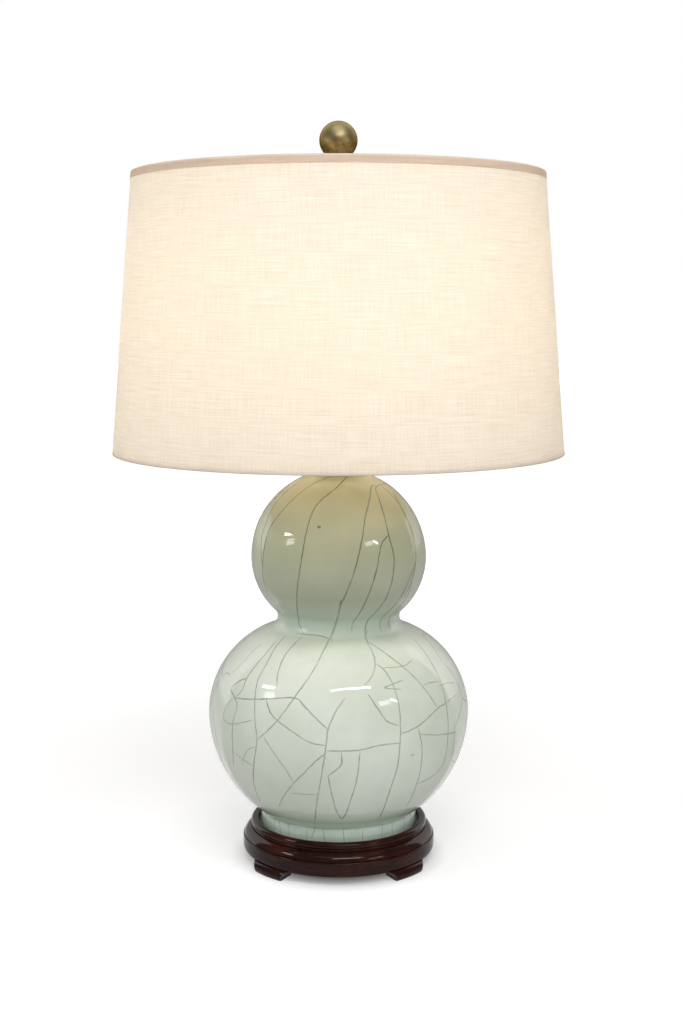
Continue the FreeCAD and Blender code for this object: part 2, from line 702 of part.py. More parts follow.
def switch_knob():
    """The fluted turn knob, made about +Z and laid along the shaft."""
    knob = turned(
        (0.0, 0.0),
        (KNOB_R - 1.6, 0.0),
        (KNOB_R - 0.4, 1.4),
        (KNOB_R, KNOB_LENGTH - 3.0),
        ((KNOB_R - 0.5, KNOB_LENGTH - 0.9), (KNOB_R - 2.2, KNOB_LENGTH)),
        (0.0, KNOB_LENGTH),
    )
    flute = Part.makeCylinder(KNOB_FLUTE_R, KNOB_LENGTH, V(KNOB_R + 0.45, 0, 1.6))
    for cutter in round_the_axis(flute, KNOB_FLUTES):
        knob = knob.cut(cutter)
    bore = Part.makeCylinder(SWITCH_SHAFT_R, 0.5 * KNOB_LENGTH, V(0, 0, 0))
    knob = knob.cut(bore).rotated(V(0, 0, 0), V(1, 0, 0), 90)
    return knob.translated(V(0, -KNOB_START, SWITCH_Z))


# ---- Bulb ------------------------------------------------------------------------------------

CONE_TOP = BULB_BASE_Z + 4.0
THREAD_START = CONE_TOP + 1.0
THREAD_END = THREAD_START + THREAD_COUNT * THREAD_PITCH
COLLAR_TOP = THREAD_END + 3.5
GLASS_NECK_IN_BASE = BASE_R - THREAD_DEPTH - BASE_WALL - RUNNING


def bulb_base():
    """The threaded brass base, with its threads as rolled rings."""
    crest, root = BASE_R, BASE_R - THREAD_DEPTH
    inner = root - BASE_WALL
    steps = []
    for i in range(THREAD_COUNT):
        low = THREAD_START + i * THREAD_PITCH
        steps.append(((crest, low + THREAD_PITCH / 2), (root, low + THREAD_PITCH)))
    return turned(
        (inner, CONE_TOP),
        (root, CONE_TOP),
        (root, THREAD_START),
        *steps,
        (root + 0.4, THREAD_END + 1.0),
        (BULB_NECK_R - 0.5, COLLAR_TOP - 0.6),
        (BULB_NECK_R - 0.5, COLLAR_TOP),
        (inner, COLLAR_TOP),
    )


def bulb_insulator():
    """The dark glass cone at the base's lower end."""
    tip_r = 4.6
    return turned(
        (0.0, BULB_BASE_Z + 1.0),
        (tip_r, BULB_BASE_Z + 1.0),
        (BASE_R - THREAD_DEPTH - BASE_WALL, CONE_TOP),
        (BASE_R - THREAD_DEPTH - BASE_WALL, CONE_TOP + 2.0),
        (0.0, CONE_TOP + 2.0),
    )


def bulb_tip():
    """The soldered contact under the insulator."""
    top = BULB_BASE_Z + 1.0
    return turned((0.0, BULB_BASE_Z), (2.0, BULB_BASE_Z), ((3.6, BULB_BASE_Z + 0.3), (4.3, top)), (0.0, top))


def bulb_outline(wall):
    """The steps round the globe from its neck to its top, a wall's thickness inside."""
    turn = math.radians(GLOBE_START_ANGLE)
    globe = (0.0, GLOBE_Z)
    meet_r = BULB_R * math.cos(turn)
    meet_z = GLOBE_Z - BULB_R * math.sin(turn)
    curve_r = (meet_r - BULB_NECK_R) / (1 - math.cos(turn))
    curve = (BULB_NECK_R + curve_r, meet_z - curve_r * math.sin(turn))
    return (
        (BULB_NECK_R - wall, curve[1]),
        arc_on(curve, curve_r + wall, 180, 180 - GLOBE_START_ANGLE),
        arc_on(globe, BULB_R - wall, -GLOBE_START_ANGLE, 90),
    )


def bulb_glass():
    """The frosted glass bulb, hollow, with its neck in the base."""
    low = THREAD_START + 1.5 * THREAD_PITCH
    neck = GLASS_NECK_IN_BASE
    outside = turned(
        (0.0, low),
        (neck, low),
        (neck, COLLAR_TOP + RUNNING),
        (BULB_NECK_R, COLLAR_TOP + RUNNING),
        *bulb_outline(0.0),
    )
    hollow = turned(
        (0.0, low + 4.0),
        (neck - GLASS_WALL, low + 4.0),
        (neck - GLASS_WALL, COLLAR_TOP + RUNNING + GLASS_WALL),
        *bulb_outline(GLASS_WALL),
    )
    return outside.cut(hollow)


def bulb_stem():
    """The glass stem inside the bulb, with its two support wires."""
    low = THREAD_START + 1.5 * THREAD_PITCH + 4.0
    press_z = GLOBE_Z - 34.0
    stem = turned((0.0, low), (6.0, low), (4.0, low + 10.0), (3.2, press_z), (0.0, press_z + 2.0))
    for side in (1, -1):
        points = [(side * 2.0, 0, press_z - 4), (side * 2.0, 0, press_z + 6), (side * 9.0, 0, GLOBE_Z)]
        stem = stem.fuse(wire_along(points, (4.0,), 0.35))
    return stem


def bulb_filament(stem):
    """The coiled filament, as one slack bar between its support wires."""
    bow = Part.Arc(V(-9.0, 0, GLOBE_Z + 0.3), V(0, 0, GLOBE_Z + 3.0), V(9.0, 0, GLOBE_Z + 0.3)).toShape()
    section = Part.Wire(Part.makeCircle(0.6, V(-9.0, 0, GLOBE_Z + 0.3), bow.tangentAt(bow.FirstParameter)))
    return Part.Wire([bow]).makePipeShell([section], True, False).cut(stem)


# ---- Shade -----------------------------------------------------------------------------------


def shade_r(z, inset=0.0):
    """Radius of the fabric's outer face at a height, less an inset."""
    share = (z - SHADE_BOTTOM) / SHADE_HEIGHT
    return SHADE_BOTTOM_R + (SHADE_TOP_R - SHADE_BOTTOM_R) * share - inset


def cone_shell(outer_inset, inner_inset, low, high):
    """A thin layer of the shade between two heights."""
    return turned(
        (shade_r(low, inner_inset), low),
        (shade_r(low, outer_inset), low),
        (shade_r(high, outer_inset), high),
        (shade_r(high, inner_inset), high),
    )


CLOTH_LOW = SHADE_BOTTOM + TRIM_WALL
CLOTH_HIGH = SHADE_TOP - TRIM_WALL
LINED_WALL = FABRIC_WALL + LINER_WALL
TOP_RING_Z = CLOTH_HIGH - RING_WIRE_R
BOTTOM_RING_Z = CLOTH_LOW + RING_WIRE_R


def shade_fabric():
    return cone_shell(0.0, FABRIC_WALL, CLOTH_LOW, CLOTH_HIGH)


def shade_liner():
    return cone_shell(FABRIC_WALL, LINED_WALL, CLOTH_LOW, CLOTH_HIGH)


def ring_centre_r(z):
    """Centre of a wire ring that lies against the liner."""
    return shade_r(z, LINED_WALL + RING_WIRE_R + LOOSE / 2)


def wire_ring(z):
    """One of the shade's wire rings."""
    return Part.makeTorus(ring_centre_r(z), RING_WIRE_R, V(0, 0, z))


def folded_trim(edge, inward, band):
    """The strip folded over an edge of the shade: edge is its height, inward is +1 or -1 in Z."""
    tuck = shade_r(edge, LINED_WALL + 2 * RING_WIRE_R + LOOSE)
    outer_end, inner_end = edge + inward * band, edge + inward * TRIM_TURN_IN
    web = edge + inward * TRIM_WALL
    lean = shade_r(inner_end) - shade_r(edge)
    return turned(
        (shade_r(edge, -TRIM_WALL), edge),
        (shade_r(outer_end, -TRIM_WALL), outer_end),
        (shade_r(outer_end), outer_end),
        (shade_r(web), web),
        (tuck, web),
        (tuck + lean, inner_end),
        (tuck + lean - TRIM_WALL, inner_end),
        (tuck - TRIM_WALL, edge),
    )


def spider_washer():
    """The flat washer that sits on the harp's seat, under the finial."""
    return ring(STUD_R + LOOSE, SPIDER_WASHER_R, SEAT_TOP, WASHER_TOP)


def spider_arms(washer, top_ring):
    """The arms from the washer out to the top ring."""
    start_z = SEAT_TOP + SPIDER_WASHER_WALL / 2
    reach = ring_centre_r(TOP_RING_Z)
    points = [(SPIDER_WASHER_R - 1.5, 0, start_z), (reach - ARM_RISE_RUN, 0, start_z), (reach, 0, TOP_RING_Z)]
    arm = wire_along(points, (60.0,), ARM_WIRE_R)
    arms = round_the_axis(arm, ARM_COUNT, 90.0)
    return Part.makeCompound([a.cut(washer).cut(top_ring) for a in arms])


# ---- Finial ----------------------------------------------------------------------------------


def finial_stem():
    """The finial's turned foot and neck, bored for the stud, with a tenon up into the ball."""
    ball_foot = BALL_Z - math.sqrt(BALL_R**2 - (FINIAL_NECK_R + 1.0) ** 2)
    rise = ball_foot - WASHER_TOP
    stem = turned(
        (0.0, WASHER_TOP),
        (FINIAL_FOOT_R - 0.6, WASHER_TOP),
        ((FINIAL_FOOT_R + 0.3, WASHER_TOP + 1.2), (FINIAL_FOOT_R - 0.6, WASHER_TOP + 2.4)),
        ((FINIAL_NECK_R + 0.6, WASHER_TOP + 4.4), (FINIAL_NECK_R, WASHER_TOP + 0.55 * rise)),
        ((FINIAL_NECK_R + 0.2, ball_foot - 2.4), (FINIAL_NECK_R + 1.0, ball_foot)),
        (FINIAL_TENON_R, ball_foot),
        (FINIAL_TENON_R, ball_foot + FINIAL_TENON_HEIGHT),
        (0.0, ball_foot + FINIAL_TENON_HEIGHT),
    )
    thread = ring(0, STUD_R + RUNNING, WASHER_TOP, WASHER_TOP + STUD_THREAD_HEIGHT + 1.0)
    return stem.cut(thread)


def finial_ball():
    """The ball, cut flat where it meets the stem."""
    ball_foot = BALL_Z - math.sqrt(BALL_R**2 - (FINIAL_NECK_R + 1.0) ** 2)
    ball = Part.makeSphere(BALL_R, V(0, 0, BALL_Z))
    ball = ball.cut(ring(0, BALL_R, BALL_Z - 2 * BALL_R, ball_foot + RUNNING))
    hole_r, hole_top = FINIAL_TENON_R + RUNNING, ball_foot + FINIAL_TENON_HEIGHT + 2 * RUNNING
    return ball.cut(ring(0, hole_r, ball_foot, hole_top))


# ---- Writing the pieces ----------------------------------------------------------------------


def pieces():
    """Every piece of the lamp by name."""
    apron, stem, washer, top_ring = stand_apron(), bulb_stem(), spider_washer(), wire_ring(TOP_RING_Z)
    arms = spider_arms(washer, top_ring)
    return {
        "stand_apron": apron,
        "stand_board": stand_board(),
        "stand_rim": stand_rim(),
        "cord_bushing": cord_bushing(apron),
        "foot_gasket": foot_gasket(),
        "gourd_body": gourd_body(),
        "lamp_pipe": lamp_pipe(),
        "bottom_washer": bottom_washer(),
        "bottom_nut": bottom_nut(),
        "vase_cap": vase_cap(),
        "neck_spacer": neck_spacer(),
        "harp_saddle": harp_saddle(),
        "harp_wire": harp_wire(),
        "harp_stud": harp_stud(),
        "harp_ferrule_right": harp_ferrule(1),
        "harp_ferrule_left": harp_ferrule(-1),
        "socket_cap": socket_cap(),
        "socket_set_screw": socket_set_screw(),
        "socket_shell": socket_shell(),
        "socket_liner": socket_liner(),
        "socket_block": socket_block(),
        "terminal_screws": terminal_screws(),
        "screw_shell": screw_shell(),
        "center_contact": center_contact(),
        "switch_shaft": switch_shaft(),
        "switch_knob": switch_knob(),
        "bulb_base": bulb_base(),
        "bulb_insulator": bulb_insulator(),
        "bulb_tip": bulb_tip(),
        "bulb_glass": bulb_glass(),
        "bulb_stem": stem,
        "bulb_filament": bulb_filament(stem),
        "spider_washer": washer,
        "spider_arms": arms,
        "shade_top_ring": top_ring,
        "shade_bottom_ring": wire_ring(BOTTOM_RING_Z),
        "shade_liner": shade_liner(),
        "shade_fabric": shade_fabric(),
        "top_trim": folded_trim(SHADE_TOP, -1, TOP_TRIM_BAND).cut(arms),
        "bottom_trim": folded_trim(SHADE_BOTTOM, 1, BOTTOM_TRIM_BAND),
        "finial_stem": finial_stem(),
        "finial_ball": finial_ball(),
    }


os.makedirs("parts", exist_ok=True)
for name, shape in pieces().items():
    shape.exportStep(f"parts/{name}.step")
    box = shape.BoundBox
    print(f"{name:20s} solids {len(shape.Solids)} valid {shape.isValid()} z {box.ZMin:.2f} to {box.ZMax:.2f}")
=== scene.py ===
"""The looks of a double gourd table lamp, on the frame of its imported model.

Metres, +Z up, the lamp's axis at x = y = 0 and its front towards -Y.
"""
import bpy
import math
import random
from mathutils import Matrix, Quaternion, Vector, geometry, noise


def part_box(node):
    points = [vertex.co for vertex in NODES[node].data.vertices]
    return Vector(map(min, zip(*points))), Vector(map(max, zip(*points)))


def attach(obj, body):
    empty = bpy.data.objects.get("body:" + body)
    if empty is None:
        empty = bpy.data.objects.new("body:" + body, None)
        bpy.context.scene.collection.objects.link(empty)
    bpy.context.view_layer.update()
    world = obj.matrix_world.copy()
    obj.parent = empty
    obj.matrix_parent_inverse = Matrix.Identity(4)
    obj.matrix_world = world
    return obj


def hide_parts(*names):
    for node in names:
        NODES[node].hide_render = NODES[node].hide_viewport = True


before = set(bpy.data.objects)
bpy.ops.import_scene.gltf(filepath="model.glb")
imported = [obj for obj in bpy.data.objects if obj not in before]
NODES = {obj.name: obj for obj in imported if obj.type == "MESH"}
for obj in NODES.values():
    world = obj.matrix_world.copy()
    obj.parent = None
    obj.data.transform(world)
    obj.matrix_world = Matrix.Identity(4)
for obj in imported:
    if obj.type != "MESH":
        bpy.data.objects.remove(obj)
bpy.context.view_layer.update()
MM = 0.001
IMAGE_W, IMAGE_H = 683, 1024

# ---- Sizes of the lamp, as in its model ------------------------------------------------------

FOOT_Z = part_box("gourd_body")[0].z
NECK_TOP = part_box("gourd_body")[1].z
LOWER_R = 134.6 * MM
LOWER_Z = FOOT_Z + 119.6 * MM
SHOULDER_ARC_R = 93.4 * MM
UPPER_R = 89.95 * MM
UPPER_Z = FOOT_Z + 281.05 * MM
UPPER_BELLY_ARC_R = 73.64 * MM
WAIST_ARC_R = 11.4 * MM
NECK_R = 27.0 * MM
NECK_BASE = FOOT_Z + 367.0 * MM
FOOT_RING_R = 81.4 * MM
FOOT_RING_WALL = 9.0 * MM
FOOT_RING_TOP = FOOT_Z + 17.4 * MM
GLAZED_WALL = 5.5 * MM
PIPE_HOLE_R = 6.1 * MM

SHADE_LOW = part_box("bottom_trim")[0].z
SHADE_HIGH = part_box("top_trim")[1].z
SHADE_BOTTOM_R = 228.6 * MM
SHADE_TOP_R = 204.9 * MM
CLOTH_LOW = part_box("shade_fabric")[0].z
CLOTH_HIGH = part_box("shade_fabric")[1].z

# ---- Camera ----------------------------------------------------------------------------------

CAMERA_AT = Vector((3.05 * MM, -1536.7 * MM, 571.1 * MM))
CAMERA_PITCH = math.radians(7.73)
FOCAL_PX = 1511.1
SENSOR = 36.0                # the long side of the film, in mm
CLIP_START, CLIP_END = 0.05, 50


def make_camera():
    """The camera at the photograph's viewpoint, with its framing."""
    data = bpy.data.cameras.new("camera")
    data.sensor_width = SENSOR
    data.lens = FOCAL_PX * SENSOR / IMAGE_H
    data.clip_start, data.clip_end = CLIP_START, CLIP_END
    camera = bpy.data.objects.new("camera", data)
    camera.location = CAMERA_AT
    camera.rotation_euler = (math.pi / 2 - CAMERA_PITCH, 0, 0)
    bpy.context.scene.collection.objects.link(camera)
    bpy.context.scene.camera = camera


make_camera()


def sight_line(pixel):
    """The direction from the camera through a pixel of the photograph."""
    x, y = (pixel[0] - IMAGE_W / 2) / FOCAL_PX, (IMAGE_H / 2 - pixel[1]) / FOCAL_PX
    c, s = math.cos(CAMERA_PITCH), math.sin(CAMERA_PITCH)
    return Vector((x, c + y * s, y * c - s)).normalized()


# ---- Small tools for nodes and meshes --------------------------------------------------------


class Surface:
    """Nodes under construction, of a new material or of the world."""

    def __init__(self, name, world=None):
        self.material = world or bpy.data.materials.new(name)
        self.material.use_nodes = True
        self.tree = self.material.node_tree
        self.tree.nodes.clear()

    def add(self, kind, inputs=None, **settings):
        """A node. Inputs are by name or number, and each is a value or another node's output."""
        made = self.tree.nodes.new(kind)
        for key, value in settings.items():
            setattr(made, key, value)
        for key, value in (inputs or {}).items():
            if isinstance(value, bpy.types.NodeSocket):
                self.tree.links.new(value, made.inputs[key])
            else:
                made.inputs[key].default_value = value
        return made

    def where(self, scale=(1, 1, 1), uv=False):
        """Object coordinates in metres, or the sheet's own, stretched by scale."""
        if uv:
            source = self.add("ShaderNodeUVMap", uv_map="Cloth").outputs["UV"]
        else:
            source = self.add("ShaderNodeTexCoord").outputs["Object"]
        return self.add("ShaderNodeMapping", {"Vector": source, "Scale": scale}).outputs["Vector"]

    def part(self, vector, axis):
        """One coordinate of a vector."""
        return self.add("ShaderNodeSeparateXYZ", {"Vector": vector}).outputs[axis]

    def noise(self, place, scale, detail=4.0, roughness=0.55, distortion=0.0):
        """Noise from 0 to 1, with about scale patches to the unit of place."""
        wanted = {"Vector": place, "Scale": scale, "Detail": detail, "Roughness": roughness,
                  "Distortion": distortion}
        return self.add("ShaderNodeTexNoise", wanted).outputs["Fac"]

    def ramp(self, fac, low, high):
        """0 below low, 1 above high, even between."""
        made = self.add("ShaderNodeMapRange", {"Value": fac, "From Min": low, "From Max": high})
        return made.outputs["Result"]

    def spread(self, fac, low, high):
        """A value from low to high, as fac goes from 0 to 1."""
        made = self.add("ShaderNodeMapRange", {"Value": fac, "To Min": low, "To Max": high})
        return made.outputs["Result"]

    def sum(self, kind, a, b):
        """Arithmetic on two values."""
        return self.add("ShaderNodeMath", {0: a, 1: b}, operation=kind).outputs[0]

    def between(self, fac, a, b):
        """A value between a and b."""
        return self.add("ShaderNodeMix", {0: fac, 2: a, 3: b}, data_type="FLOAT").outputs[0]

    def mix(self, fac, a, b):
        """A colour between a and b."""
        wanted = {0: fac, 6: solid(a), 7: solid(b)}
        return self.add("ShaderNodeMix", wanted, data_type="RGBA").outputs[2]

    def blended(self, fac, a, b):
        """A shader between a and b."""
        return self.add("ShaderNodeMixShader", {0: fac, 1: a, 2: b}).outputs[0]

    def bump(self, height, strength, distance):
        """A normal that follows a height, in relief of a distance in metres."""
        wanted = {"Height": height, "Strength": strength, "Distance": distance}
        return self.add("ShaderNodeBump", wanted).outputs["Normal"]

    def skin(self, **inputs):
        """A Principled shader, with underscores for the spaces in its inputs' names."""
        wanted = {key.replace("_", " "): value for key, value in inputs.items()}
        wanted["Base Color"] = solid(wanted["Base Color"])
        return self.add("ShaderNodeBsdfPrincipled", wanted).outputs["BSDF"]

    def done(self, shader):
        """The finished material."""
        self.add("ShaderNodeOutputMaterial", {"Surface": shader})
        return self.material


def solid(colour):
    """A colour with its alpha, if it is plain numbers."""
    if isinstance(colour, tuple) and len(colour) == 3:
        return (*colour, 1.0)
    return colour


def clamped(value):
    return min(1.0, max(0.0, value))


def new_piece(name, verts, faces, material, body, smooth_under=None):
    """A mesh piece that rides on a body. Edges sharper than smooth_under degrees stay sharp."""
    mesh = bpy.data.meshes.new(name)
    mesh.from_pydata(verts, [], faces)
    mesh.validate()
    mesh.shade_smooth()
    if smooth_under:
        mesh.set_sharp_from_angle(angle=math.radians(smooth_under))
    mesh.materials.append(material)
    piece = bpy.data.objects.new(name, mesh)
    bpy.context.scene.collection.objects.link(piece)
    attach(piece, body)
    return piece


def turn_outline(outline, segments, radius_at):
    """Vertices and faces of a closed outline of (r, z) turned about the lamp's axis, where
    radius_at(r, angle, z) stands for r."""
    verts, faces = [], []
    for r, z in outline:
        for i in range(segments):
            a = 2 * math.pi * i / segments
            radius = radius_at(r, a, z)
            verts.append((radius * math.cos(a), radius * math.sin(a), z))
    rings = [range(start, start + segments) for start in range(0, len(verts), segments)]
    for low, high in zip(rings, rings[1:] + rings[:1]):
        for i in range(segments):
            j = (i + 1) % segments
            faces.append((low[i], low[j], high[j], high[i]))
    return verts, faces


def arc_points(centre, radius, first, last, step):
    """Points (r, z) along an arc between two angles in degrees, both ends included."""
    count = max(2, math.ceil(abs(math.radians(last - first)) * radius / step))
    angles = [math.radians(first + (last - first) * i / count) for i in range(count + 1)]
    return [(centre[0] + radius * math.cos(a), centre[1] + radius * math.sin(a)) for a in angles]


# ---- Gourd: its outline ----------------------------------------------------------------------


def arc_radius(equator_r, end_r, height):
    """Radius of the arc that is upright at equator_r and passes through end_r at height."""
    run = equator_r - end_r
    return (run**2 + height**2) / (2 * run)


def angle_at(centre, point):
    """The direction of a point from a centre, in degrees."""
    return math.degrees(math.atan2(point[1] - centre[1], point[0] - centre[0]))


def waist_centre(shoulder, belly):
    """The centre of the waist's arc, which touches the lower shoulder and the upper belly."""
    first, second = SHOULDER_ARC_R + WAIST_ARC_R, UPPER_BELLY_ARC_R + WAIST_ARC_R
    span = math.dist(shoulder, belly)
    along = (span**2 + first**2 - second**2) / (2 * span)
    off = math.sqrt(first**2 - along**2)
    ux, uz = (belly[0] - shoulder[0]) / span, (belly[1] - shoulder[1]) / span
    return shoulder[0] + ux * along + uz * off, shoulder[1] + uz * along - ux * off


def glazed_outline(inset=0.0, step=1.6 * MM):
    """The gourd's surface from the foot ring's top to the neck, or a surface inside it."""
    low_r = arc_radius(LOWER_R, FOOT_RING_R, LOWER_Z - FOOT_RING_TOP)
    crown_r = arc_radius(UPPER_R, NECK_R, NECK_BASE - UPPER_Z)
    low, crown = (LOWER_R - low_r, LOWER_Z), (UPPER_R - crown_r, UPPER_Z)
    shoulder = (LOWER_R - SHOULDER_ARC_R, LOWER_Z)
    belly = (UPPER_R - UPPER_BELLY_ARC_R, UPPER_Z)
    waist = waist_centre(shoulder, belly)
    start = angle_at(low, (FOOT_RING_R, FOOT_RING_TOP))
    end = angle_at(crown, (NECK_R, NECK_BASE))
    turn, back = angle_at(shoulder, waist), angle_at(belly, waist)
    return [
        *arc_points(low, low_r - inset, start, 0, step),
        *arc_points(shoulder, SHOULDER_ARC_R - inset, 0, turn, step)[1:],
        *arc_points(waist, WAIST_ARC_R + inset, turn + 180, back + 180, step / 2)[1:],
        *arc_points(belly, UPPER_BELLY_ARC_R - inset, back, 0, step)[1:],
        *arc_points(crown, crown_r - inset, 0, end, step)[1:],
    ]


GLAZED = glazed_outline(step=0.8 * MM)


def gourd_r(z):
    """Radius of the glazed surface at a height, on the lobes, the neck or the foot ring."""
    if z <= FOOT_RING_TOP:
        return FOOT_RING_R
    if z >= GLAZED[-1][1]:
        return NECK_R
    low, high = 0, len(GLAZED) - 1
    while high - low > 1:
        middle = (low + high) // 2
        if GLAZED[middle][1] <= z:
            low = middle
        else:
            high = middle
    (r0, z0), (r1, z1) = GLAZED[low], GLAZED[high]
    return r0 + (r1 - r0) * (z - z0) / (z1 - z0)


HAND_WOBBLE = 0.45 * MM
WOBBLES = 16                 # of its bumps to the metre
WOBBLE_EASE = 0.04           # the height over which it sets in, in metres


def thrown_r(r, angle, z):
    """The radius with the slight unevenness of a hand-thrown pot, none at the neck and foot."""
    spot = Vector((math.cos(angle) * r, math.sin(angle) * r, z)) * WOBBLES
    ease = clamped((z - FOOT_RING_TOP) / WOBBLE_EASE) * clamped((NECK_BASE - z) / WOBBLE_EASE)
    return r + HAND_WOBBLE * ease * noise.noise(spot)


def on_gourd(angle, z):
    """The point of the glazed surface at an angle and height, and its outward normal."""
    radius = thrown_r(gourd_r(z), angle, z)
    step = 0.4 * MM
    slope = (gourd_r(z + step) - gourd_r(z - step)) / (2 * step)
    out = Vector((math.cos(angle), math.sin(angle), -slope)).normalized()
    return Vector((radius * math.cos(angle), radius * math.sin(angle), z)), out


NEAREST, FARTHEST = 1.30, 1.66    # from the camera, a stretch with the gourd's front in it
SEARCH_STEPS, HALVINGS = 720, 24


def pixel_on_gourd(pixel):
    """(angle, height) where the line of sight through a pixel meets the glazed surface."""
    ray = sight_line(pixel)

    def is_inside(distance):
        spot = CAMERA_AT + ray * distance
        return math.hypot(spot.x, spot.y) < gourd_r(spot.z)

    before = NEAREST
    for i in range(SEARCH_STEPS + 1):
        behind = NEAREST + (FARTHEST - NEAREST) * i / SEARCH_STEPS
        if is_inside(behind):
            break
        before = behind
    for _ in range(HALVINGS):
        middle = (before + behind) / 2
        if is_inside(middle):
            behind = middle
        else:
            before = middle
    spot = CAMERA_AT + ray * behind
    return math.atan2(spot.y, spot.x), spot.z


# ---- Gourd: its glaze and cracks -------------------------------------------------------------

WAIST_Z = 255 * MM           # the middle of the waist


def glaze_material():
    """Pale celadon, greener where the glaze is thick. The upper lobe is darker and more olive, with
    a
    browner crown: painted shade under the lampshade, the crown's warmth painted bulb light.
    """
    s = Surface("celadon_glaze")
    place = s.where()
    height = s.part(place, "Z")
    clouds = s.ramp(s.noise(place, 9.0, 3.0, 0.5), 0.35, 0.65)
    fine = s.noise(place, 60.0, 4.0, 0.6)
    cells = s.add("ShaderNodeTexVoronoi", {"Vector": place, "Scale": 17.0}).outputs["Color"]
    tint = s.add("ShaderNodeSeparateColor", {"Color": cells}).outputs[0]

    # the tones of the lower lobe, then the upper lobe's underside, its belly and its crown, darker
    #     # as painted shade under the lampshade and the crown warmer as painted bulb light
    body = s.mix(clouds, (0.60, 0.66, 0.56), (0.68, 0.73, 0.65))
    painted_shade_grey = s.mix(clouds, (0.34, 0.37, 0.27), (0.41, 0.44, 0.34))
    olive = s.mix(clouds, (0.42, 0.44, 0.29), (0.48, 0.50, 0.36))
    crown = s.mix(clouds, (0.37, 0.345, 0.185), (0.43, 0.40, 0.24))
    # painted shade and painted lamp light: darker from the waist up, warmer at the crown
    colour = s.mix(s.ramp(height, WAIST_Z - 5 * MM, WAIST_Z + 30 * MM), body, painted_shade_grey)
    colour = s.mix(s.ramp(height, WAIST_Z + 30 * MM, WAIST_Z + 85 * MM), colour, olive)
    colour = s.mix(s.ramp(height, UPPER_Z + 30 * MM, UPPER_Z + 70 * MM), colour, crown)

    # thicker glaze in the waist and over the foot ring, and the bluer ring itself
    pooled_high = s.ramp(height, WAIST_Z + 22 * MM, WAIST_Z)
    pooled_low = s.ramp(height, WAIST_Z - 20 * MM, WAIST_Z)
    waist = s.sum("MULTIPLY", s.sum("MULTIPLY", pooled_high, pooled_low), 0.55)
    colour = s.mix(waist, colour, (0.42, 0.54, 0.42))
    band = s.ramp(height, FOOT_RING_TOP + 20 * MM, FOOT_RING_TOP + 10 * MM)
    colour = s.mix(s.sum("MULTIPLY", band, 0.75), colour, (0.40, 0.51, 0.39))
    foot = s.ramp(height, FOOT_RING_TOP + 0.8 * MM, FOOT_RING_TOP - 0.8 * MM)
    mottle = s.ramp(s.noise(place, 34.0, 2.0), 0.4, 0.6)
    blue = s.mix(mottle, (0.50, 0.61, 0.52), (0.60, 0.71, 0.64))
    colour = s.mix(s.sum("MULTIPLY", foot, 0.85), colour, blue)

    # fine freckles and a faint change of tint from cell to cell
    freckles = s.sum("MULTIPLY", s.ramp(fine, 0.45, 0.75), 0.12)
    colour = s.mix(freckles, colour, (0.42, 0.46, 0.38))
    colour = s.mix(s.sum("MULTIPLY", tint, 0.07), colour, (0.50, 0.54, 0.42))
    rough = s.spread(fine, 0.02, 0.08)
    normal = s.bump(s.noise(place, 28.0, 2.0), 0.10, 2 * MM)
    return s.done(s.skin(Base_Color=colour, Roughness=rough, IOR=1.5, Normal=normal))


def crack_material():
    """The stain under the glaze along a crack, darker and more olive on the upper lobe, where the
    darkening is painted shade under the lampshade.
    """
    s = Surface("crackle_stain")
    place = s.where()
    tone = s.ramp(s.noise(place, 55.0, 3.0), 0.35, 0.7)
    pale = s.mix(tone, (0.31, 0.36, 0.29), (0.44, 0.49, 0.42))
    olive = s.mix(tone, (0.17, 0.18, 0.11), (0.25, 0.27, 0.17))
    # painted shade: the cracks darken on the upper lobe with the glaze round them
    upper = s.ramp(s.part(place, "Z"), WAIST_Z - 10 * MM, WAIST_Z + 30 * MM)
    return s.done(s.skin(Base_Color=s.mix(upper, pale, olive), Roughness=0.12, IOR=1.5))


FOOT_EDGE = 1.5 * MM         # radius of the foot ring's lower edge
FLOOR_HALF = 3.5 * MM        # half the pot's floor
GOURD_SEGMENTS = 288


def gourd_body():
    """The hollow pot, with the pipe's hole in its floor."""
    floor_top, floor_low = FOOT_RING_TOP + FLOOR_HALF, FOOT_RING_TOP - FLOOR_HALF
    foot_in = FOOT_RING_R - FOOT_RING_WALL
    neck_in = NECK_R - GLAZED_WALL
    inside = [(r, z) for r, z in glazed_outline(GLAZED_WALL, 6 * MM)
              if z > floor_top + 1 * MM and (r > neck_in or z < UPPER_Z)]
    outline = [
        (FOOT_RING_R - FOOT_EDGE, FOOT_Z),
        *arc_points((FOOT_RING_R - FOOT_EDGE, FOOT_Z + FOOT_EDGE), FOOT_EDGE, -80, 0, 0.4 * MM),
        *[(FOOT_RING_R, FOOT_Z + h * MM) for h in (4, 7, 10, 13, 15.2)],
        (FOOT_RING_R - 0.25 * MM, FOOT_RING_TOP - 1.3 * MM),
        (FOOT_RING_R - 0.75 * MM, FOOT_RING_TOP - 0.7 * MM),
        (FOOT_RING_R - 0.35 * MM, FOOT_RING_TOP - 0.2 * MM),
        *glazed_outline()[1:],
        (NECK_R, NECK_TOP - 1.2 * MM),
        (NECK_R - 0.4 * MM, NECK_TOP - 0.3 * MM),
        (NECK_R - 1.4 * MM, NECK_TOP),
        (neck_in + 0.8 * MM, NECK_TOP),
        (neck_in, NECK_TOP - 0.8 * MM),
        *reversed(inside),
        (inside[0][0] - 6 * MM, floor_top),
        (PIPE_HOLE_R, floor_top),
        (PIPE_HOLE_R, floor_low),
        (foot_in - 4 * MM, floor_low),
        (foot_in, floor_low - 4 * MM),
        (foot_in, FOOT_Z + 1 * MM),
        (foot_in + 1 * MM, FOOT_Z),
    ]
    verts, faces = turn_outline(outline, GOURD_SEGMENTS, thrown_r)
    piece = new_piece("glazed_gourd", verts, faces, glaze_material(), "root", 50)
    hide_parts("gourd_body")


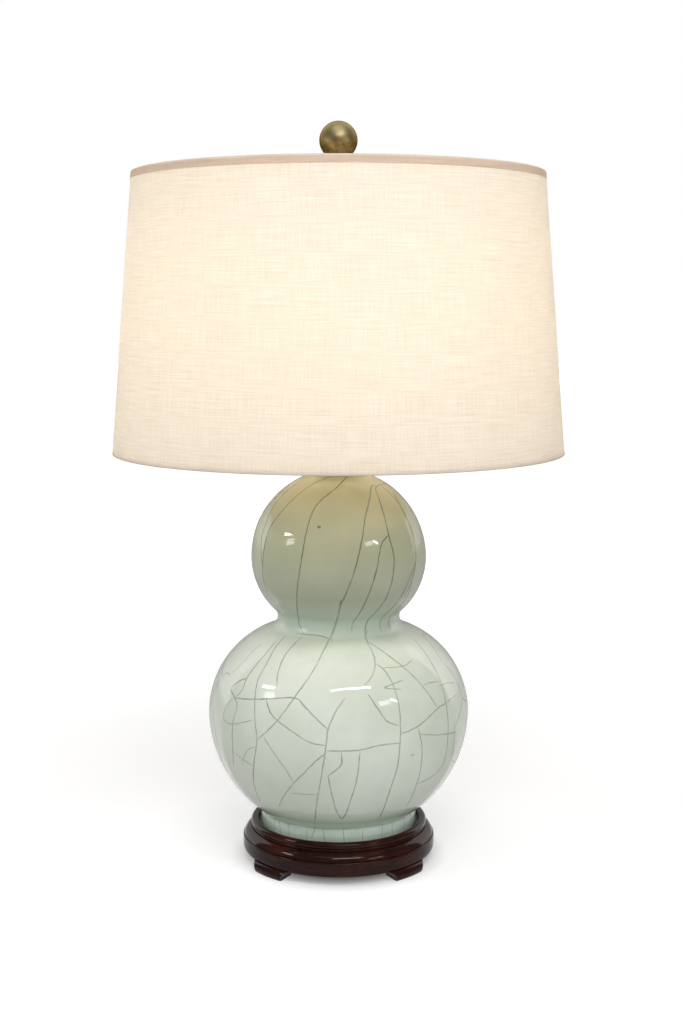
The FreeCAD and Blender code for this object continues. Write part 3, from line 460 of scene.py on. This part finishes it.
# The cracks that show in the photograph, as (x, y) pixels along each one. The cells are fainter.
UPPER_CRACKS = {
    "left_flow": [(345, 473), (329, 477), (307, 488), (284, 509), (269, 530), (263, 561),
                  (263, 579), (268, 593)],
    "left_inner_flow": [(350, 472), (346, 477), (336, 488), (316, 506), (307, 530), (302, 557),
                        (298, 582), (297, 607), (299, 623), (304, 634)],
    "middle_flow": [(377, 486), (371, 488), (366, 514), (362, 539), (356, 566), (348, 589),
                    (340, 607), (337, 621), (331, 639)],
    "right_flow": [(370, 474), (377, 486), (380, 502), (388, 532), (394, 557), (393, 575),
                   (386, 598), (370, 618), (367, 639)],
    "right_branch": [(388, 535), (381, 546), (377, 568), (371, 588), (361, 611), (353, 623),
                     (352, 634)],
    "right_edge": [(392, 491), (402, 510), (412, 530), (416, 552), (412, 580), (402, 600)],
}
LOWER_CRACKS = {
    "long_left_sweep": [(341, 600), (337, 619), (328, 642), (313, 671), (294, 698), (277, 721),
                        (257, 741)],
    "left_rise": [(235, 698), (247, 699), (267, 699), (294, 698), (305, 707), (328, 730)],
    "left_fall": [(266, 699), (272, 715), (290, 730), (309, 742), (326, 746)],
    "spine": [(345, 698), (335, 713), (328, 730), (326, 746), (322, 773), (318, 795), (315, 820),
              (311, 839)],
    "level": [(326, 751), (341, 751), (360, 750), (381, 745), (400, 743)],
    "waist_drop": [(368, 629), (367, 641), (375, 661), (372, 676), (363, 687)],
    "right_arch": [(375, 663), (385, 671), (395, 690), (400, 715), (400, 743), (397, 768),
                   (389, 793), (379, 818)],
    "right_diagonal": [(367, 641), (393, 659), (416, 679), (437, 707)],
    "right_chord": [(401, 734), (418, 726), (437, 709), (446, 703)],
    "far_right": [(412, 638), (429, 659), (441, 682), (446, 703), (448, 734), (441, 768),
                  (418, 784)],
    "right_drop": [(418, 727), (422, 749), (420, 772), (414, 791), (406, 807)],
    "right_level": [(420, 734), (435, 735), (447, 734), (456, 732)],
    "under_gleam": [(368, 694), (378, 709), (387, 721), (399, 726)],
    "petal_top": [(341, 751), (341, 765), (328, 776)],
    "petal": [(328, 776), (332, 795), (337, 812), (343, 818), (351, 799), (357, 778), (360, 751)],
    "left_low_sweep": [(326, 753), (316, 761), (305, 772), (293, 784), (282, 799), (279, 807)],
    "left_low_drop": [(264, 737), (274, 753), (286, 770), (293, 782)],
    "left_low_level": [(290, 793), (317, 795)],
    "left_inner_line": [(303, 636), (286, 654), (278, 673), (277, 686)],
    "left_long": [(286, 636), (267, 663), (258, 680), (255, 700), (255, 719), (257, 741),
                  (254, 765), (254, 784), (261, 803)],
    "left_outer_line": [(277, 641), (263, 657), (247, 678), (242, 690), (235, 698)],
    "left_loop": [(247, 678), (238, 682), (231, 689), (235, 698), (237, 707), (233, 724),
                  (233, 749), (234, 766)],
    "left_cell": [(233, 698), (226, 707), (224, 719), (233, 724), (253, 720)],
    "left_low_cell": [(234, 752), (253, 766)],
    "left_low_cell_arc": [(242, 765), (247, 751), (256, 746)],
    "right_cell": [(383, 668), (403, 666), (412, 660)],
    "right_upper_cell": [(422, 690), (426, 684), (440, 681)],
    "waist_left": [(296, 633), (320, 636), (333, 641)],
    "right_twig": [(401, 689), (385, 688), (393, 684), (403, 680)],
    "far_right_cell": [(438, 686), (447, 683), (454, 683)],
    "far_right_low_cell": [(446, 703), (452, 698), (457, 694)],
}
SPECKS = ((319, 527), (412, 755))    # pixels of the iron specks
SPECK_W = 5.0 * MM           # before its ends taper it
SPECK_HALF = 1.2 * MM        # half its height
SPECK_BEND = 0.002           # in radians, so that its path has a direction
CRACK_W = 1.3 * MM
FAINT_W = 0.85 * MM
CRACK_DEPTH = 0.35 * MM      # into the glaze
CRACK_PROUD = 0.05 * MM      # out of it
CRACK_STEP = 1.6 * MM
CRACK_SHAKE = 0.35 * MM      # how far a crack wanders to each side
SHAKES = 240                 # of its turns to the metre
ELSEWHERE = Vector((0, 0, 50))    # to an unrelated place in the noise
SWELLS = 150                 # of its changes of width to the metre
CRACKLE_SEED = 7


def smooth_path(points, step):
    """A curve through the points, as even steps along a Catmull-Rom spline."""
    path = []
    ends = [points[0] * 2 - points[1], *points, points[-1] * 2 - points[-2]]
    for a, b, c, d in zip(ends, ends[1:], ends[2:], ends[3:]):
        count = max(2, round((c - b).length / step))
        for i in range(count):
            t = i / count
            bend, twist = 2 * a - 5 * b + 4 * c - d, 3 * b - a - 3 * c + d
            path.append(0.5 * ((2 * b) + (c - a) * t + bend * t * t + twist * t * t * t))
    return [*path, points[-1]]


def crack_strip(corners, width, verts, faces):
    """Adds one stained crack along (angle, height) corners, as a thin closed strip in the glaze."""
    spots = [on_gourd(*corner)[0] for corner in corners]
    path = smooth_path(spots, CRACK_STEP)
    start, last = len(verts), len(path) - 1
    for i, spot in enumerate(path):
        angle, z = math.atan2(spot.y, spot.x), spot.z
        shift = noise.noise(spot * SHAKES) * CRACK_SHAKE
        rise = noise.noise(spot * SHAKES + ELSEWHERE) * CRACK_SHAKE
        angle, z = angle + shift / max(0.02, spot.xy.length), z + rise
        at, out = on_gourd(angle, z)
        along = (path[min(last, i + 1)] - path[max(0, i - 1)]).normalized()
        side = along.cross(out).normalized()
        taper = min(1.0, 0.35 + min(i, last - i) * 0.2)
        half = side * (width / 2 * taper * (1 + 0.45 * noise.noise(spot * SWELLS)))
        top, under = at + out * CRACK_PROUD, at - out * CRACK_DEPTH
        verts += [top - half, top + half, under + half, under - half]
    for i in range(last):
        a = start + 4 * i
        faces += [(a + n, a + (n + 1) % 4, a + 4 + (n + 1) % 4, a + 4 + n) for n in range(4)]
    end = start + 4 * last
    faces += [(start + 3, start + 2, start + 1, start), (end, end + 1, end + 2, end + 3)]


FORKED = 0.45                # of the upper lobe's cracks at the back


def back_flows(rng):
    """Cracks down the upper lobe where the photograph doesn't look, as (angle, height) paths."""
    paths = []
    angle, last = math.radians(-28), math.radians(212)
    count = 8                # steps down each crack
    while angle < last:
        lean = rng.uniform(-0.35, 0.35)
        top, low = rng.uniform(0.392, 0.400), rng.choice((0.247, 0.250, 0.262, 0.290))
        path = []
        for i in range(count + 1):
            across = angle + lean * (i / count) ** 1.5 + rng.uniform(-0.03, 0.03)
            path.append((across, top + (low - top) * i / count))
        paths.append(path)
        if rng.random() < FORKED:
            fork = rng.randint(2, 4)
            turn = rng.choice((-1, 1)) * rng.uniform(0.12, 0.22)
            rest = [(a + turn * min(1, (n + 1) / 3), z)
                    for n, (a, z) in enumerate(path[fork + 1:])]
            paths.append([path[fork], *rest])
        angle += rng.uniform(0.26, 0.5)
    return paths


NET_FIRST, NET_LAST = math.radians(-32), math.radians(212)
NET_LOW, NET_HIGH = 0.058, 0.243
NET_TRIES = 2600
CELL = 0.041                 # the least distance between two cells' seeds
SHORTEST = 0.006             # of the net's cracks, in metres
LEFT_OUT = 0.13              # of them


def back_network(rng):
    """The net of cracks round the rest of the lower lobe: edges of cells about random seeds."""
    scale = LOWER_R          # metres of the flat net to the radian
    seeds = []
    for _ in range(NET_TRIES):
        spot = Vector((rng.uniform(NET_FIRST - 0.3, NET_LAST + 0.3) * scale,
                       rng.uniform(NET_LOW - 0.03, NET_HIGH + 0.03)))
        if all((spot - other).length > CELL for other in seeds):
            seeds.append(spot)
    found = geometry.delaunay_2d_cdt(seeds, [], [], 0, 1e-6)
    corners, triangles = found[0], found[2]
    middles, beside = [], {}
    for n, (a, b, c) in enumerate(triangles):
        middles.append((corners[a] + corners[b] + corners[c]) / 3)
        for edge in ((a, b), (b, c), (c, a)):
            beside.setdefault(frozenset(edge), []).append(n)
    paths = []
    for pair in beside.values():
        if len(pair) < 2 or rng.random() < LEFT_OUT:
            continue
        start, end = middles[pair[0]], middles[pair[1]]
        inside = all(NET_FIRST <= p.x / scale <= NET_LAST and NET_LOW <= p.y <= NET_HIGH
                     for p in (start, end))
        if not inside or (end - start).length < SHORTEST:
            continue
        across = Vector((start.y - end.y, end.x - start.x)) * rng.uniform(-0.16, 0.16)
        bowed = (start + end) / 2 + across
        paths.append([(p.x / scale, p.y) for p in (start, bowed, end)])
    return paths


def foot_cracks(rng):
    """The short upright cracks round the foot ring."""
    paths, angle = [], 0.0
    while angle < 2 * math.pi:
        low, lean = FOOT_Z + 1.8 * MM, rng.uniform(-0.02, 0.02)
        high = FOOT_RING_TOP + rng.choice((-2, 1, 6)) * MM
        paths.append([(angle, low), (angle + lean, (low + high) / 2), (angle + lean * 1.6, high)])
        angle += rng.uniform(0.13, 0.27)
    return paths


def crackle():
    """Every crack in the glaze, with the few iron specks."""
    rng = random.Random(CRACKLE_SEED)
    verts, faces = [], []
    for shown in (UPPER_CRACKS, LOWER_CRACKS):
        for name, pixels in shown.items():
            width = FAINT_W if "cell" in name else CRACK_W
            crack_strip([pixel_on_gourd(p) for p in pixels], width, verts, faces)
    for path in back_flows(rng):
        crack_strip(path, CRACK_W, verts, faces)
    for path in back_network(rng):
        crack_strip(path, rng.uniform(FAINT_W, CRACK_W), verts, faces)
    for path in foot_cracks(rng):
        crack_strip(path, FAINT_W, verts, faces)
    for pixel in SPECKS:
        angle, z = pixel_on_gourd(pixel)
        path = [(angle, z - SPECK_HALF), (angle + SPECK_BEND, z), (angle, z + SPECK_HALF)]
        crack_strip(path, SPECK_W, verts, faces)
    new_piece("crackle_lines", verts, faces, crack_material(), "root", 30)


# ---- Shade -----------------------------------------------------------------------------------


def shade_r(z):
    """Radius of the cloth's outer face at a height."""
    share = (z - SHADE_LOW) / (SHADE_HIGH - SHADE_LOW)
    return SHADE_BOTTOM_R + (SHADE_TOP_R - SHADE_BOTTOM_R) * share


def linen_nodes(s):
    """(colour, thread height, thin spots) of a slubby linen weave, in the sheet's own metres."""
    weft = s.noise(s.where((22, 760, 1), uv=True), 1.0, 3.0, 0.6)
    warp = s.noise(s.where((760, 34, 1), uv=True), 1.0, 3.0, 0.6)
    slub_weft = s.noise(s.where((22, 480, 1), uv=True), 1.0, 2.0, 0.5)
    slub_warp = s.noise(s.where((300, 24, 1), uv=True), 1.0, 2.0, 0.5)
    cloud = s.noise(s.where((9, 9, 1), uv=True), 1.0, 3.0, 0.5)
    threads = s.sum("ADD", s.sum("MULTIPLY", weft, 0.6), s.sum("MULTIPLY", warp, 0.4))
    slubs = s.sum("MAXIMUM", s.ramp(slub_weft, 0.60, 0.78), s.ramp(slub_warp, 0.66, 0.86))
    colour = s.mix(s.ramp(threads, 0.36, 0.64), (0.76, 0.715, 0.66), (0.89, 0.86, 0.82))
    colour = s.mix(s.sum("MULTIPLY", slubs, 0.34), colour, (0.70, 0.64, 0.57))
    colour = s.mix(s.sum("MULTIPLY", cloud, 0.15), colour, (0.93, 0.90, 0.86))
    return colour, threads, slubs


def linen_material():
    """Pale linen that lets more than half of the bulb's light through."""
    s = Surface("linen")
    colour, threads, slubs = linen_nodes(s)
    normal = s.bump(s.sum("ADD", threads, slubs), 0.35, 0.0006)
    cloth = s.skin(Base_Color=colour, Roughness=0.92, Sheen_Weight=0.08, Normal=normal)
    glow = s.add("ShaderNodeBsdfTranslucent", {"Color": colour, "Normal": normal}).outputs[0]
    return s.done(s.blended(0.58, cloth, glow))


def trim_material(name, share):
    """The same linen, folded over an edge of the shade. A share of the light goes through it. Its
    greyer, pinker tone is painted shade of the thicker fold.
    """
    s = Surface(name)
    colour, threads, slubs = linen_nodes(s)
    # painted shade: the fold is greyer and pinker than the open linen
    colour = s.mix(0.5, colour, (0.82, 0.74, 0.68))
    normal = s.bump(s.sum("ADD", threads, slubs), 0.4, 0.0006)
    cloth = s.skin(Base_Color=colour, Roughness=0.92, Normal=normal)
    glow = s.add("ShaderNodeBsdfTranslucent", {"Color": colour}).outputs[0]
    return s.done(s.blended(share, cloth, glow))


def liner_material():
    """The thin styrene that the linen is laminated to."""
    s = Surface("shade_liner_film")
    grain = s.noise(s.where(), 160.0, 3.0)
    colour = s.mix(grain, (0.86, 0.83, 0.76), (0.93, 0.91, 0.86))
    film = s.skin(Base_Color=colour, Roughness=0.6)
    clear = s.add("ShaderNodeBsdfTransparent", {"Color": (1.0, 0.98, 0.94, 1.0)}).outputs[0]
    return s.done(s.blended(0.85, film, clear))


def cloth_uv(mesh, spots):
    """A UV map in metres of cloth, from a (u, v) for each loop."""
    layer = mesh.uv_layers.new(name="Cloth")
    for loop, spot in zip(layer.data, spots):
        loop.uv = spot


CLOTH_COLUMNS, CLOTH_ROWS = 364, 48
SEAM = math.radians(88)      # where the sheet starts, at the back
LAP = math.radians(3.2)      # its end over its start
LAP_LIFT = 0.5 * MM
LAP_RISE = 0.01              # the turn over which it lifts, in radians
CLOTH_RIPPLE = 0.12 * MM
CLOTH_SUNK = 0.1 * MM        # under the outline's own radius


def shade_cloth():
    """One sheet of linen round the shade, its end lapped over its start at the back."""
    verts, places = [], []
    for j in range(CLOTH_ROWS + 1):
        z = CLOTH_LOW + (CLOTH_HIGH - CLOTH_LOW) * j / CLOTH_ROWS
        for i in range(CLOTH_COLUMNS):
            turn = (2 * math.pi + LAP) * i / (CLOTH_COLUMNS - 1)
            a = SEAM + turn
            over = LAP_LIFT * clamped((turn - 2 * math.pi + LAP_RISE) / LAP_RISE)
            spot = Vector((math.cos(a) * 3, math.sin(a) * 3, z * 12))
            r = shade_r(z) - CLOTH_SUNK + over + CLOTH_RIPPLE * noise.noise(spot)
            verts.append((r * math.cos(a), r * math.sin(a), z))
            places.append((turn * SHADE_BOTTOM_R, z))
    faces = []
    for j in range(CLOTH_ROWS):
        for i in range(CLOTH_COLUMNS - 1):
            low = j * CLOTH_COLUMNS + i
            high = low + CLOTH_COLUMNS
            faces.append((low, low + 1, high + 1, high))
    piece = new_piece("shade_linen", verts, faces, linen_material(), "shade")
    cloth_uv(piece.data, [places[loop.vertex_index] for loop in piece.data.loops])
    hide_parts("shade_fabric")
    return piece


TRIM_SEGMENTS = 300
TUCK = 6 * MM                # how far the strip reaches inside the shade
ROLL_FULLNESS = 0.3 * MM     # past the strip's own face, at the roll
TRIM_UNEVEN = 0.1 * MM
ROLL_W = 5.2 * MM            # across the roll over the wire
GLUED = 0.02 * MM            # its inner face's clearance over the cloth


def folded_trim(name, node, edge, inward, band, roll, wall, share):
    """The strip folded over one edge of the shade, full over the wire inside it. It runs down the
    band outside, round the roll and up inside; inward is the way from the edge, 1 up or -1 down."""
    outer_z, roll_z, inner_z = edge + inward * band, edge + inward * roll, edge + inward * TUCK
    outline = []
    for part in range(9):
        z = outer_z + (roll_z - outer_z) * part / 8
        outline.append((shade_r(z) + wall * (0.4 if part == 0 else 1.0), z))
    inner_r = shade_r(edge) + wall - ROLL_W
    middle_r = shade_r(edge) + wall - ROLL_W / 2
    for part in range(1, 12):
        a = math.pi * part / 12
        outline.append((middle_r + ROLL_W / 2 * math.cos(a) + ROLL_FULLNESS * math.sin(a),
                        edge + inward * (roll - roll * math.sin(a))))
    for part in range(5):
        z = roll_z + (inner_z - roll_z) * part / 4
        outline.append((inner_r + shade_r(z) - shade_r(edge), z))
    for part in range(5):
        z = inner_z + (roll_z - inner_z) * part / 4
        outline.append((inner_r + wall + shade_r(z) - shade_r(edge), z))
    under_z = roll_z + inward * 0.8 * MM
    outline.append((shade_r(under_z) + GLUED, under_z))
    outline.append((shade_r(outer_z) + GLUED, outer_z + inward * 0.1 * MM))

    def hand_folded(r, angle, z):
        """The glued strip's slight unevenness."""
        spot = Vector((math.cos(angle), math.sin(angle), z * 40)) * 7
        return r + TRIM_UNEVEN * noise.noise(spot)

    if inward > 0:
        outline.reverse()
    verts, faces = turn_outline(outline, TRIM_SEGMENTS, hand_folded)
    faces = [tuple(reversed(face)) for face in faces]
    material = trim_material(name, share)
    piece = new_piece(name, verts, faces, material, "shade", 60)
    spots = []
    for poly in piece.data.polygons:
        corners = [piece.data.vertices[v].co for v in poly.vertices]
        wrap = any(co.y < 0 and co.x > 0 for co in corners)
        for co in corners:
            a = math.atan2(co.y, co.x) % (2 * math.pi)
            if wrap and a < 0.1:
                a += 2 * math.pi
            spots.append((a * SHADE_BOTTOM_R, co.z + 0.4 * co.xy.length))
    cloth_uv(piece.data, spots)
    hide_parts(node)
    return piece


def shade():
    """The linen and its folded trims."""
    cloth = shade_cloth()
    top = folded_trim("top_trim_linen", "top_trim", SHADE_HIGH, -1,
                      band=8 * MM, roll=1.4 * MM, wall=0.3 * MM, share=0.80)
    bottom = folded_trim("bottom_trim_linen", "bottom_trim", SHADE_LOW, 1,
                         band=2.4 * MM, roll=1.4 * MM, wall=0.12 * MM, share=0.58)


# ---- Stand, metal and the rest ---------------------------------------------------------------


def lacquer_material():
    """Dark red-brown lacquer over a fine-grained wood."""
    s = Surface("lacquered_wood")
    place = s.where()
    grain = s.noise(s.where((30, 30, 260)), 1.0, 5.0, 0.6, 0.6)
    patch = s.noise(place, 22.0, 3.0)
    colour = s.mix(s.ramp(grain, 0.35, 0.7), (0.010, 0.002, 0.0015), (0.028, 0.0065, 0.0045))
    redder = s.sum("MULTIPLY", s.ramp(patch, 0.5, 0.75), 0.5)
    colour = s.mix(redder, colour, (0.085, 0.018, 0.008))
    rough = s.spread(s.noise(place, 40.0, 3.0), 0.05, 0.14)
    normal = s.bump(grain, 0.02, 0.0006)
    return s.done(s.skin(Base_Color=colour, Roughness=rough, Specular_IOR_Level=0.20,
                         Normal=normal))


def metal_material(name, dull, bright, rough_low, rough_high, patch_scale, bump=0.05,
                   painted_top_light=None):
    """A metal whose colour and polish vary in patches. Where painted_top_light is given, it holds
    the heights between which a painted highlight sets in towards the top, and its colour."""
    s = Surface(name)
    place = s.where()
    patch = s.ramp(s.noise(place, patch_scale, 6.0, 0.65), 0.38, 0.62)
    fine = s.noise(place, patch_scale * 7, 3.0)
    colour = s.mix(patch, dull, bright)
    if painted_top_light:
        low, high, painted_highlight_colour = painted_top_light
        # painted highlight: lighter towards the top
        colour = s.mix(s.spread(s.ramp(s.part(place, "Z"), low, high), 0.0, 0.8), colour, painted_highlight_colour)
    rough = s.spread(patch, rough_high, rough_low)
    normal = s.bump(fine, bump, 0.0006)
    return s.done(s.skin(Base_Color=colour, Metallic=1.0, Roughness=rough, Normal=normal,
                         Specular_Tint=(0.15, 0.11, 0.07, 1.0)))


def moulded_material(name, dark, light, roughness, scale):
    """A plain moulded or pressed stuff with a faint mottle."""
    s = Surface(name)
    spots = s.noise(s.where(), scale, 4.0)
    normal = s.bump(spots, 0.12, 0.0004)
    colour = s.mix(spots, dark, light)
    return s.done(s.skin(Base_Color=colour, Roughness=roughness, Normal=normal))


BULB_LIGHT = 20.0
BULB_NECK_LIGHT = 0.92 * BULB_LIGHT
BULB_MIDDLE = 572.6 * MM
BULB_SEEN = 0.05             # of its light that shows, seen straight or in gloss


def bulb_material():
    """Frosted glass, lit, and dimmer towards its neck."""
    s = Surface("frosted_bulb")
    frost = s.noise(s.where(), 40.0, 2.0)
    colour = s.mix(frost, (0.93, 0.90, 0.84), (0.97, 0.95, 0.90))
    lit = s.ramp(s.part(s.where(), "Z"), BULB_MIDDLE - 28 * MM, BULB_MIDDLE + 22 * MM)
    strength = s.spread(lit, BULB_NECK_LIGHT, BULB_LIGHT)
    path = s.add("ShaderNodeLightPath").outputs
    seen = s.sum("MAXIMUM", path["Is Camera Ray"], path["Is Glossy Ray"])
    strength = s.sum("MULTIPLY", strength, s.spread(seen, 1.0, BULB_SEEN))
    return s.done(s.skin(Base_Color=colour, Roughness=0.5, Emission_Color=(1.0, 0.82, 0.58, 1.0),
                         Emission_Strength=strength))


def glass_material():
    """The clear stem inside the bulb."""
    s = Surface("clear_stem_glass")
    rough = s.ramp(s.noise(s.where(), 90.0, 2.0), -2.0, 6.0)
    return s.done(s.skin(Base_Color=(0.95, 0.95, 0.93), Roughness=rough, Transmission_Weight=1.0,
                         IOR=1.5))


# the heights of the finial's ball over which its painted highlight sets in
BALL_HIGHLIGHT_FROM_Z, BALL_HIGHLIGHT_TO_Z = 731 * MM, 748 * MM


def finish_nodes():
    """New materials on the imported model's own pieces."""
    # antique brass, with a painted highlight on the top of the finial's ball
    aged_and_highlit_brass = metal_material("antique_brass", (0.09, 0.062, 0.025), (0.26, 0.185, 0.075), 0.33, 0.46,
                          150.0, 0.25, (BALL_HIGHLIGHT_FROM_Z, BALL_HIGHLIGHT_TO_Z, (0.66, 0.54, 0.30)))
    brass = metal_material("bright_brass", (0.55, 0.40, 0.17), (0.74, 0.56, 0.27), 0.18, 0.32, 60.0)
    steel = metal_material("zinc_steel", (0.48, 0.48, 0.47), (0.66, 0.67, 0.68), 0.28, 0.42, 80.0)
    dark = moulded_material("dark_plastic", (0.018, 0.014, 0.012), (0.04, 0.03, 0.026), 0.35,
                            120.0)
    felt = moulded_material("felt", (0.03, 0.06, 0.04), (0.06, 0.10, 0.07), 0.95, 700.0)
    card = moulded_material("liner_card", (0.28, 0.22, 0.14), (0.40, 0.33, 0.24), 0.9, 300.0)
    glaze = moulded_material("black_glass", (0.01, 0.01, 0.01), (0.03, 0.03, 0.035), 0.1, 90.0)
    wire = moulded_material("white_wire", (0.70, 0.68, 0.62), (0.80, 0.78, 0.73), 0.4, 150.0)
    looks = {
        lacquer_material(): ["stand_apron", "stand_board", "stand_rim"],
        aged_and_highlit_brass: ["vase_cap", "neck_spacer", "finial_stem", "finial_ball"],
        brass: ["harp_saddle", "harp_wire", "harp_stud", "harp_ferrule_left",
                "harp_ferrule_right", "socket_cap", "socket_set_screw", "socket_shell",
                "terminal_screws", "screw_shell", "center_contact", "switch_shaft",
                "spider_washer", "spider_arms"],
        steel: ["lamp_pipe", "bottom_washer", "bottom_nut", "bulb_base", "bulb_tip",
                "bulb_filament"],
        dark: ["cord_bushing", "socket_block", "switch_knob"],
        felt: ["foot_gasket"],
        card: ["socket_liner"],
        glaze: ["bulb_insulator"],
        wire: ["shade_top_ring", "shade_bottom_ring"],
        liner_material(): ["shade_liner"],
        bulb_material(): ["bulb_glass"],
        glass_material(): ["bulb_stem"],
    }
    for material, names in looks.items():
        for name in names:
            mesh = NODES[name].data
            mesh.materials.clear()
            mesh.materials.append(material)


# ---- Floor, backdrop and lights --------------------------------------------------------------


SKY_LIGHT = 0.34             # on the matte surfaces
FLOOR_SIDE = 14.0            # half its side
FLOOR_LIFT = 0.545           # the white that the floor adds near the lamp, where it adds 1 far off
FLOOR_PAINTED_SHADOW = 0.15           # of that, under the stand
FLOOR_GLOSS = 0.4            # of the backdrop's light in gloss
BACKDROP = 1.95              # in gloss, at the sides of the backdrop
BACKDROP_MIDDLE = 0.35       # in gloss, straight behind the lamp
ROOM = 0.25                  # in gloss, in front of it
BACKDROP_EDGE = -math.cos(math.radians(116))    # the Y of the directions to the backdrop's edge
WHITE = (1, 1, 1, 1)


def backdrop_gloss(s, towards, share):
    """How bright the studio is in gloss, in a direction from the lamp: a share of the backdrop's
    light behind the lamp, brightest at its sides, and a dimmer room in front."""
    ahead = s.add("ShaderNodeVectorMath", {0: towards}, operation="NORMALIZE").outputs["Vector"]
    back = s.part(ahead, "Y")
    behind = s.spread(s.ramp(back, BACKDROP_EDGE, 1.0), share * BACKDROP, share * BACKDROP_MIDDLE)
    edge = s.ramp(back, BACKDROP_EDGE - 0.02, BACKDROP_EDGE + 0.02)
    return s.between(edge, ROOM, behind)


def seen_straight(s, path):
    """1 for the camera's own rays, and for those that went through glass."""
    return s.sum("MAXIMUM", path["Is Camera Ray"], path["Is Transmission Ray"])


def floor_material():
    """A pale floor that keeps the lamp's shadow, with a painted shadow under the stand, and
    otherwise shows white.
    """
    s = Surface("pale_floor")
    place = s.where()
    tone = s.mix(s.noise(place, 3.0, 2.0), (0.60, 0.60, 0.60), (0.63, 0.63, 0.63))
    matte = s.add("ShaderNodeBsdfDiffuse", {"Color": tone}).outputs[0]
    away = s.add("ShaderNodeVectorMath", {0: place}, operation="LENGTH").outputs["Value"]
    white = s.spread(s.ramp(away, 0.35, 1.6), FLOOR_LIFT, 1.0)
    # painted shadow: the floor adds less white under the stand
    white = s.sum("MULTIPLY", white, s.spread(s.ramp(away, 0.075, 0.115), FLOOR_PAINTED_SHADOW, 1.0))
    path = s.add("ShaderNodeLightPath").outputs
    white = s.sum("MULTIPLY", seen_straight(s, path), white)
    gloss = s.sum("MULTIPLY", path["Is Glossy Ray"], backdrop_gloss(s, place, FLOOR_GLOSS))
    strength = s.sum("ADD", white, gloss)
    lift = s.add("ShaderNodeEmission", {"Color": WHITE, "Strength": strength}).outputs[0]
    return s.done(s.add("ShaderNodeAddShader", {0: matte, 1: lift}).outputs[0])


def floor():
    """The floor, far wider than the view."""
    side = FLOOR_SIDE
    corners = [(-side, -side, 0), (side, -side, 0), (side, side, 0), (-side, side, 0)]
    mesh = bpy.data.meshes.new("floor")
    mesh.from_pydata(corners, [], [(0, 1, 2, 3)])
    mesh.materials.append(floor_material())
    plane = bpy.data.objects.new("floor", mesh)
    bpy.context.scene.collection.objects.link(plane)


def sky():
    """A studio: a white backdrop where it is seen straight or through glass, the backdrop and a
    dimmer room in gloss, and an even soft light."""
    world = bpy.data.worlds.new("studio")
    s = Surface("studio", world)
    path = s.add("ShaderNodeLightPath").outputs
    straight = seen_straight(s, path)
    seen = s.sum("MAXIMUM", straight, path["Is Glossy Ray"])
    towards = s.add("ShaderNodeTexCoord").outputs["Generated"]
    strength = s.between(straight, backdrop_gloss(s, towards, 1.0), 1.0)
    shown = s.add("ShaderNodeBackground", {"Color": WHITE, "Strength": strength}).outputs[0]
    light = s.add("ShaderNodeBackground", {"Color": WHITE, "Strength": SKY_LIGHT}).outputs[0]
    s.add("ShaderNodeOutputWorld", {"Surface": s.blended(seen, light, shown)})
    bpy.context.scene.world = world


def softbox(name, azimuth, distance, height, aim_z, size, power, gloss=True, roll=0):
    """An area light at an azimuth in degrees from the front, aimed at a height on the lamp's axis.
    A roll turns it in its own plane, right end up. Without gloss it makes no highlight."""
    data = bpy.data.lights.new(name, "AREA")
    data.shape, data.size, data.size_y = "RECTANGLE", size[0], size[1]
    data.energy = power
    lamp = bpy.data.objects.new(name, data)
    lamp.visible_glossy = gloss
    a = math.radians(azimuth)
    lamp.location = (distance * math.sin(a), -distance * math.cos(a), height)
    aimed = (Vector((0, 0, aim_z)) - lamp.location).to_track_quat("-Z", "Y")
    lamp.rotation_euler = (aimed @ Quaternion((0, 0, 1), math.radians(roll))).to_euler()
    bpy.context.scene.collection.objects.link(lamp)


def lights():
    """The soft light, and the boxes whose highlights show in the photograph."""
    sky()
    # name, azimuth, distance, height, height of the aim, (width, height), power
    softbox("front_strip", 14, 1.10, 1.50, 0.20, (0.90, 0.05), 7)
    softbox("left_strip", -73, 0.80, 0.70, 0.30, (0.20, 0.045), 1.0, roll=18)
    softbox("left_pane", -66, 0.80, 0.58, 0.30, (0.16, 0.10), 0.3, roll=18)
    softbox("right_window", 42, 1.20, 0.78, 0.30, (0.22, 0.12), 0.55)
    softbox("right_strip", 52, 1.20, 0.78, 0.30, (0.17, 0.04), 0.7, roll=-38)
    softbox("overhead", 0, 0.6, 2.2, 0.3, (1.6, 1.2), 5)
    softbox("front_fill", 2, 2.2, 1.45, 0.40, (1.5, 1.1), 19, gloss=False)


# ---- Build -----------------------------------------------------------------------------------

bpy.context.scene.view_settings.view_transform = "Standard"
floor()
lights()
gourd_body()
crackle()
shade()
finish_nodes()
